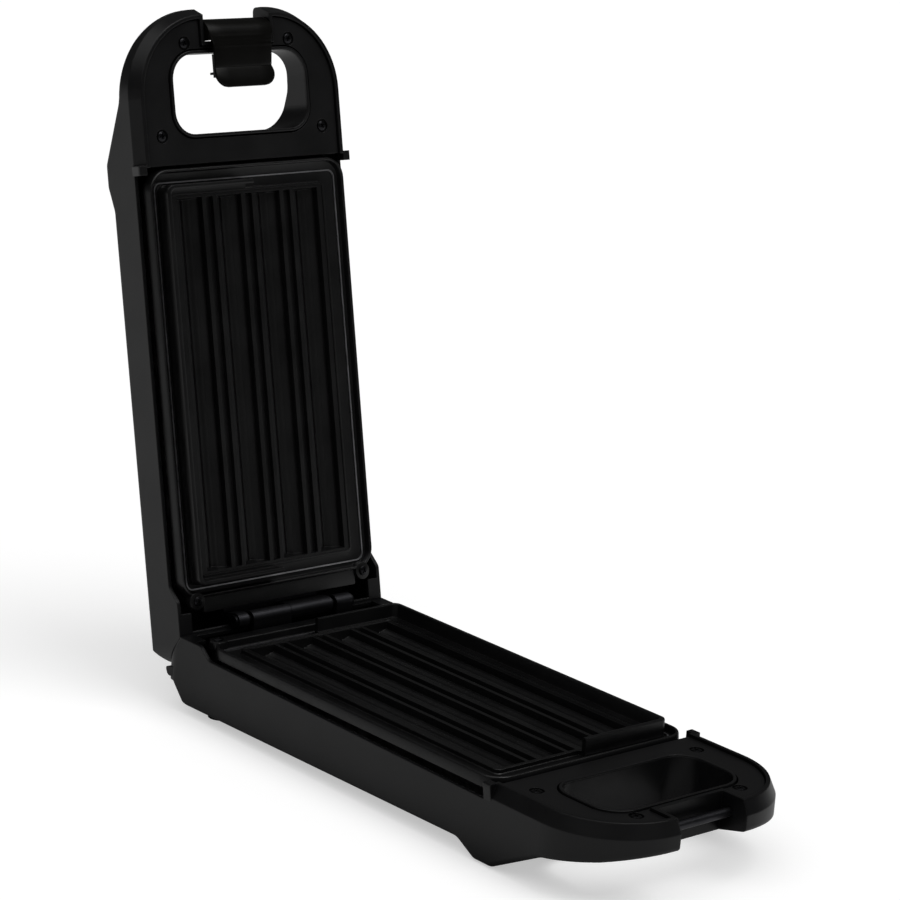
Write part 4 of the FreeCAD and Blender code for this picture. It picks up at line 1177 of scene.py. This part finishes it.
# ---- latch
@dataclass
class Latch(MadePiece):
    """Latch of one bent plate with a barrel, a ribbed brow, a flared tab, a claw, cheeks and side ribs.

    Its line and its outlines are drawn from the side, as places along the plate and above its pivot.
    """

    name: str = "latch_plate"
    node: str = "latch"
    pivot: Place = (366.0, 12.0)
    line: Profile = ((-2.9, -1.4), (-3.1, 1.0), (-2.8, 3.9), (-1.7, 6.9), (0.3, 9.5), (3.0, 11.4),
                     (7.0, 12.6), (12.0, 13.1), (17.0, 13.1), (22.0, 12.8), (26.0, 12.4),
                     (26.9, 12.05), (27.8, 12.5), (30.5, 13.4), (34.5, 14.5), (39.0, 15.3))
    line_steps: int = 6
    waist: Profile = ((4.0, 24.7), (14.0, 22.2), (26.0, 21.8), (31.0, 22.6))
    thickness: float = 1.9
    rounding: float = 0.7
    rounding_turn: float = 0.3
    corner: float = 8.5
    brow_ribs: tuple[float, ...] = (8.4, 11.0, 13.8)
    brow_rib_height: float = 0.22
    brow_rib_width: float = 0.8
    brow_rib_end: float = 0.55
    barrel_half_width: float = 24.4
    barrel_radius: float = 2.8
    barrel_bevel: float = 0.4
    barrel_bore: float = 1.65
    barrel_sides: int = 32
    claw: Profile = ((29.5, 2.0), (31.0, 2.0), (31.0, 11.8), (29.5, 11.8))
    claw_half_width: float = 18.7
    side_rib: Profile = ((18.7, 9.0), (33.0, 9.0), (33.0, 11.4), (18.7, 11.4))
    side_rib_span: Place = (20.0, 21.6)
    cheek: Profile = ((-2.6, 0.0), (-2.5, 3.6), (-1.2, 6.4), (0.8, 8.7), (3.4, 10.2), (7.0, 11.2),
                      (10.2, 11.5), (10.2, 1.0), (9.2, -0.6), (0.6, -0.6))
    cheek_span: Place = (22.9, 24.5)
    crease: float = 40.0

    def build(self) -> None:
        """Builds the latch."""
        self.plate()
        self.barrel()
        self.prism(self.claw, (-self.claw_half_width, self.claw_half_width))
        for side in SIDES:
            self.prism(self.side_rib, tuple(side * across for across in self.side_rib_span))
            self.prism(self.cheek, tuple(side * across for across in self.cheek_span))
        self.casting.finish(self.name, LID, SHADED_LATCH_PLASTIC, self.node, crease=self.crease, body="latch")

    def point(self, across: float, along: float, above: float) -> Point:
        """Point of the lid's half for a point of the latch."""
        return (across, self.pivot[0] - along, self.pivot[1] - above)

    def prism(self, outline: Profile, span: Place) -> None:
        """Adds a side outline carried between two places across."""
        self.casting.solid([[self.point(across, along, above) for along, above in outline]
                            for across in span])

    def smooth_line(self) -> list[Vector]:
        """Smooth curve through the points of the line.

        Returns:
            The points of the curve.
        """
        knots = [Vector(place) for place in (self.line[0], *self.line, self.line[-1])]
        points = []
        for before, start, end, after in zip(knots, knots[1:], knots[2:], knots[3:]):
            leaving, arriving = (end - before) * BOW_SHARE, (after - start) * BOW_SHARE
            bow = (start, start + leaving, end - arriving, end)
            points += interpolate_bezier(*bow, self.line_steps + 1)[:-1]
        return points + [knots[-1]]

    def relief(self, along: float) -> float:
        """Height of the brow's cross ribs at a place along the plate."""
        near = min(abs(along - place) for place in self.brow_ribs)
        return self.brow_rib_height * max(0.0, 1.0 - (near / self.brow_rib_width) ** 2)

    def plate(self) -> None:
        """The bent plate, as closed sections from the barrel to the rounded tab."""
        line = self.smooth_line()
        last = len(line) - 1
        rows = []
        for i, place in enumerate(line):
            ahead, back = line[min(i + 1, last)], line[max(i - 1, 0)]
            length = math.dist(ahead, back)
            normal = ((back[1] - ahead[1]) / length, (ahead[0] - back[0]) / length)
            lost = self.corner - max(0.0, min(self.corner, line[-1][0] - place[0]))
            rounded = math.sqrt(max(0.0, self.corner ** 2 - lost ** 2))
            rows.append(self.section(place, normal, eased(self.waist, place[0]) - self.corner + rounded))
        self.casting.solid(rows)

    def section(self, place: Place, normal: Place, half: float) -> list[Point]:
        """Closed row of points round the plate's section.

        Args:
            place: point of the line.
            normal: direction out of the face.
            half: half the plate's width here.

        Returns:
            The points.
        """
        soft, relief = self.rounding, self.relief(place[0])
        turn, end = soft * self.rounding_turn, half * self.brow_rib_end
        right = [(half, -self.thickness), (half, -soft), (half - turn, -turn), (half - soft, relief),
                 (end, relief)]
        left = [(-across, out) for across, out in reversed(right)]
        return [self.point(across, place[0] + normal[0] * out, place[1] + normal[1] * out)
                for across, out in [*right, (0.0, relief), *left]]

    def barrel(self) -> None:
        """Barrel round the pin."""
        reach, bevel = self.barrel_half_width, self.barrel_bevel
        outer = [(-reach, self.barrel_bore), (-reach, self.barrel_radius - bevel),
                 (bevel - reach, self.barrel_radius)]
        profile = outer + [(-across, radius) for across, radius in reversed(outer)]
        loops = self.casting.stack([[self.point(across, x, y) for x, y in circle(radius, self.barrel_sides)]
                               for across, radius in profile])
        self.casting.bridge(loops[-1], loops[0])


# ---- machine
class Machine:
    """The modelled parts, each dressed in its finish."""

    def build(self) -> None:
        """Gives each node its material, in all of its slots."""
        for finish, names in NODE_FINISHES.items():
            for name in names:
                piece = frame["nodes"][name]
                if not piece.material_slots:
                    piece.data.materials.append(None)
                for slot in piece.material_slots:
                    slot.material = finish.material()
                log.info("%s wears %s", name, finish.name)


def main() -> None:
    """Builds the camera, the studio and the machine."""
    logging.basicConfig(level=logging.INFO, format="%(name)s: %(message)s")
    Viewpoint().build()
    Studio().build()
    Machine().build()
    Plate(LID, "upper_plate_casting", "upper_plate").build()
    Plate(BASE, "lower_plate_casting", "lower_plate").build()
    HandleFace(BASE, "lower").build()
    HandleFace(LID, "upper").build()
    Latch().build()
    StopToes().build()


if __name__ == "__main__":
    main()
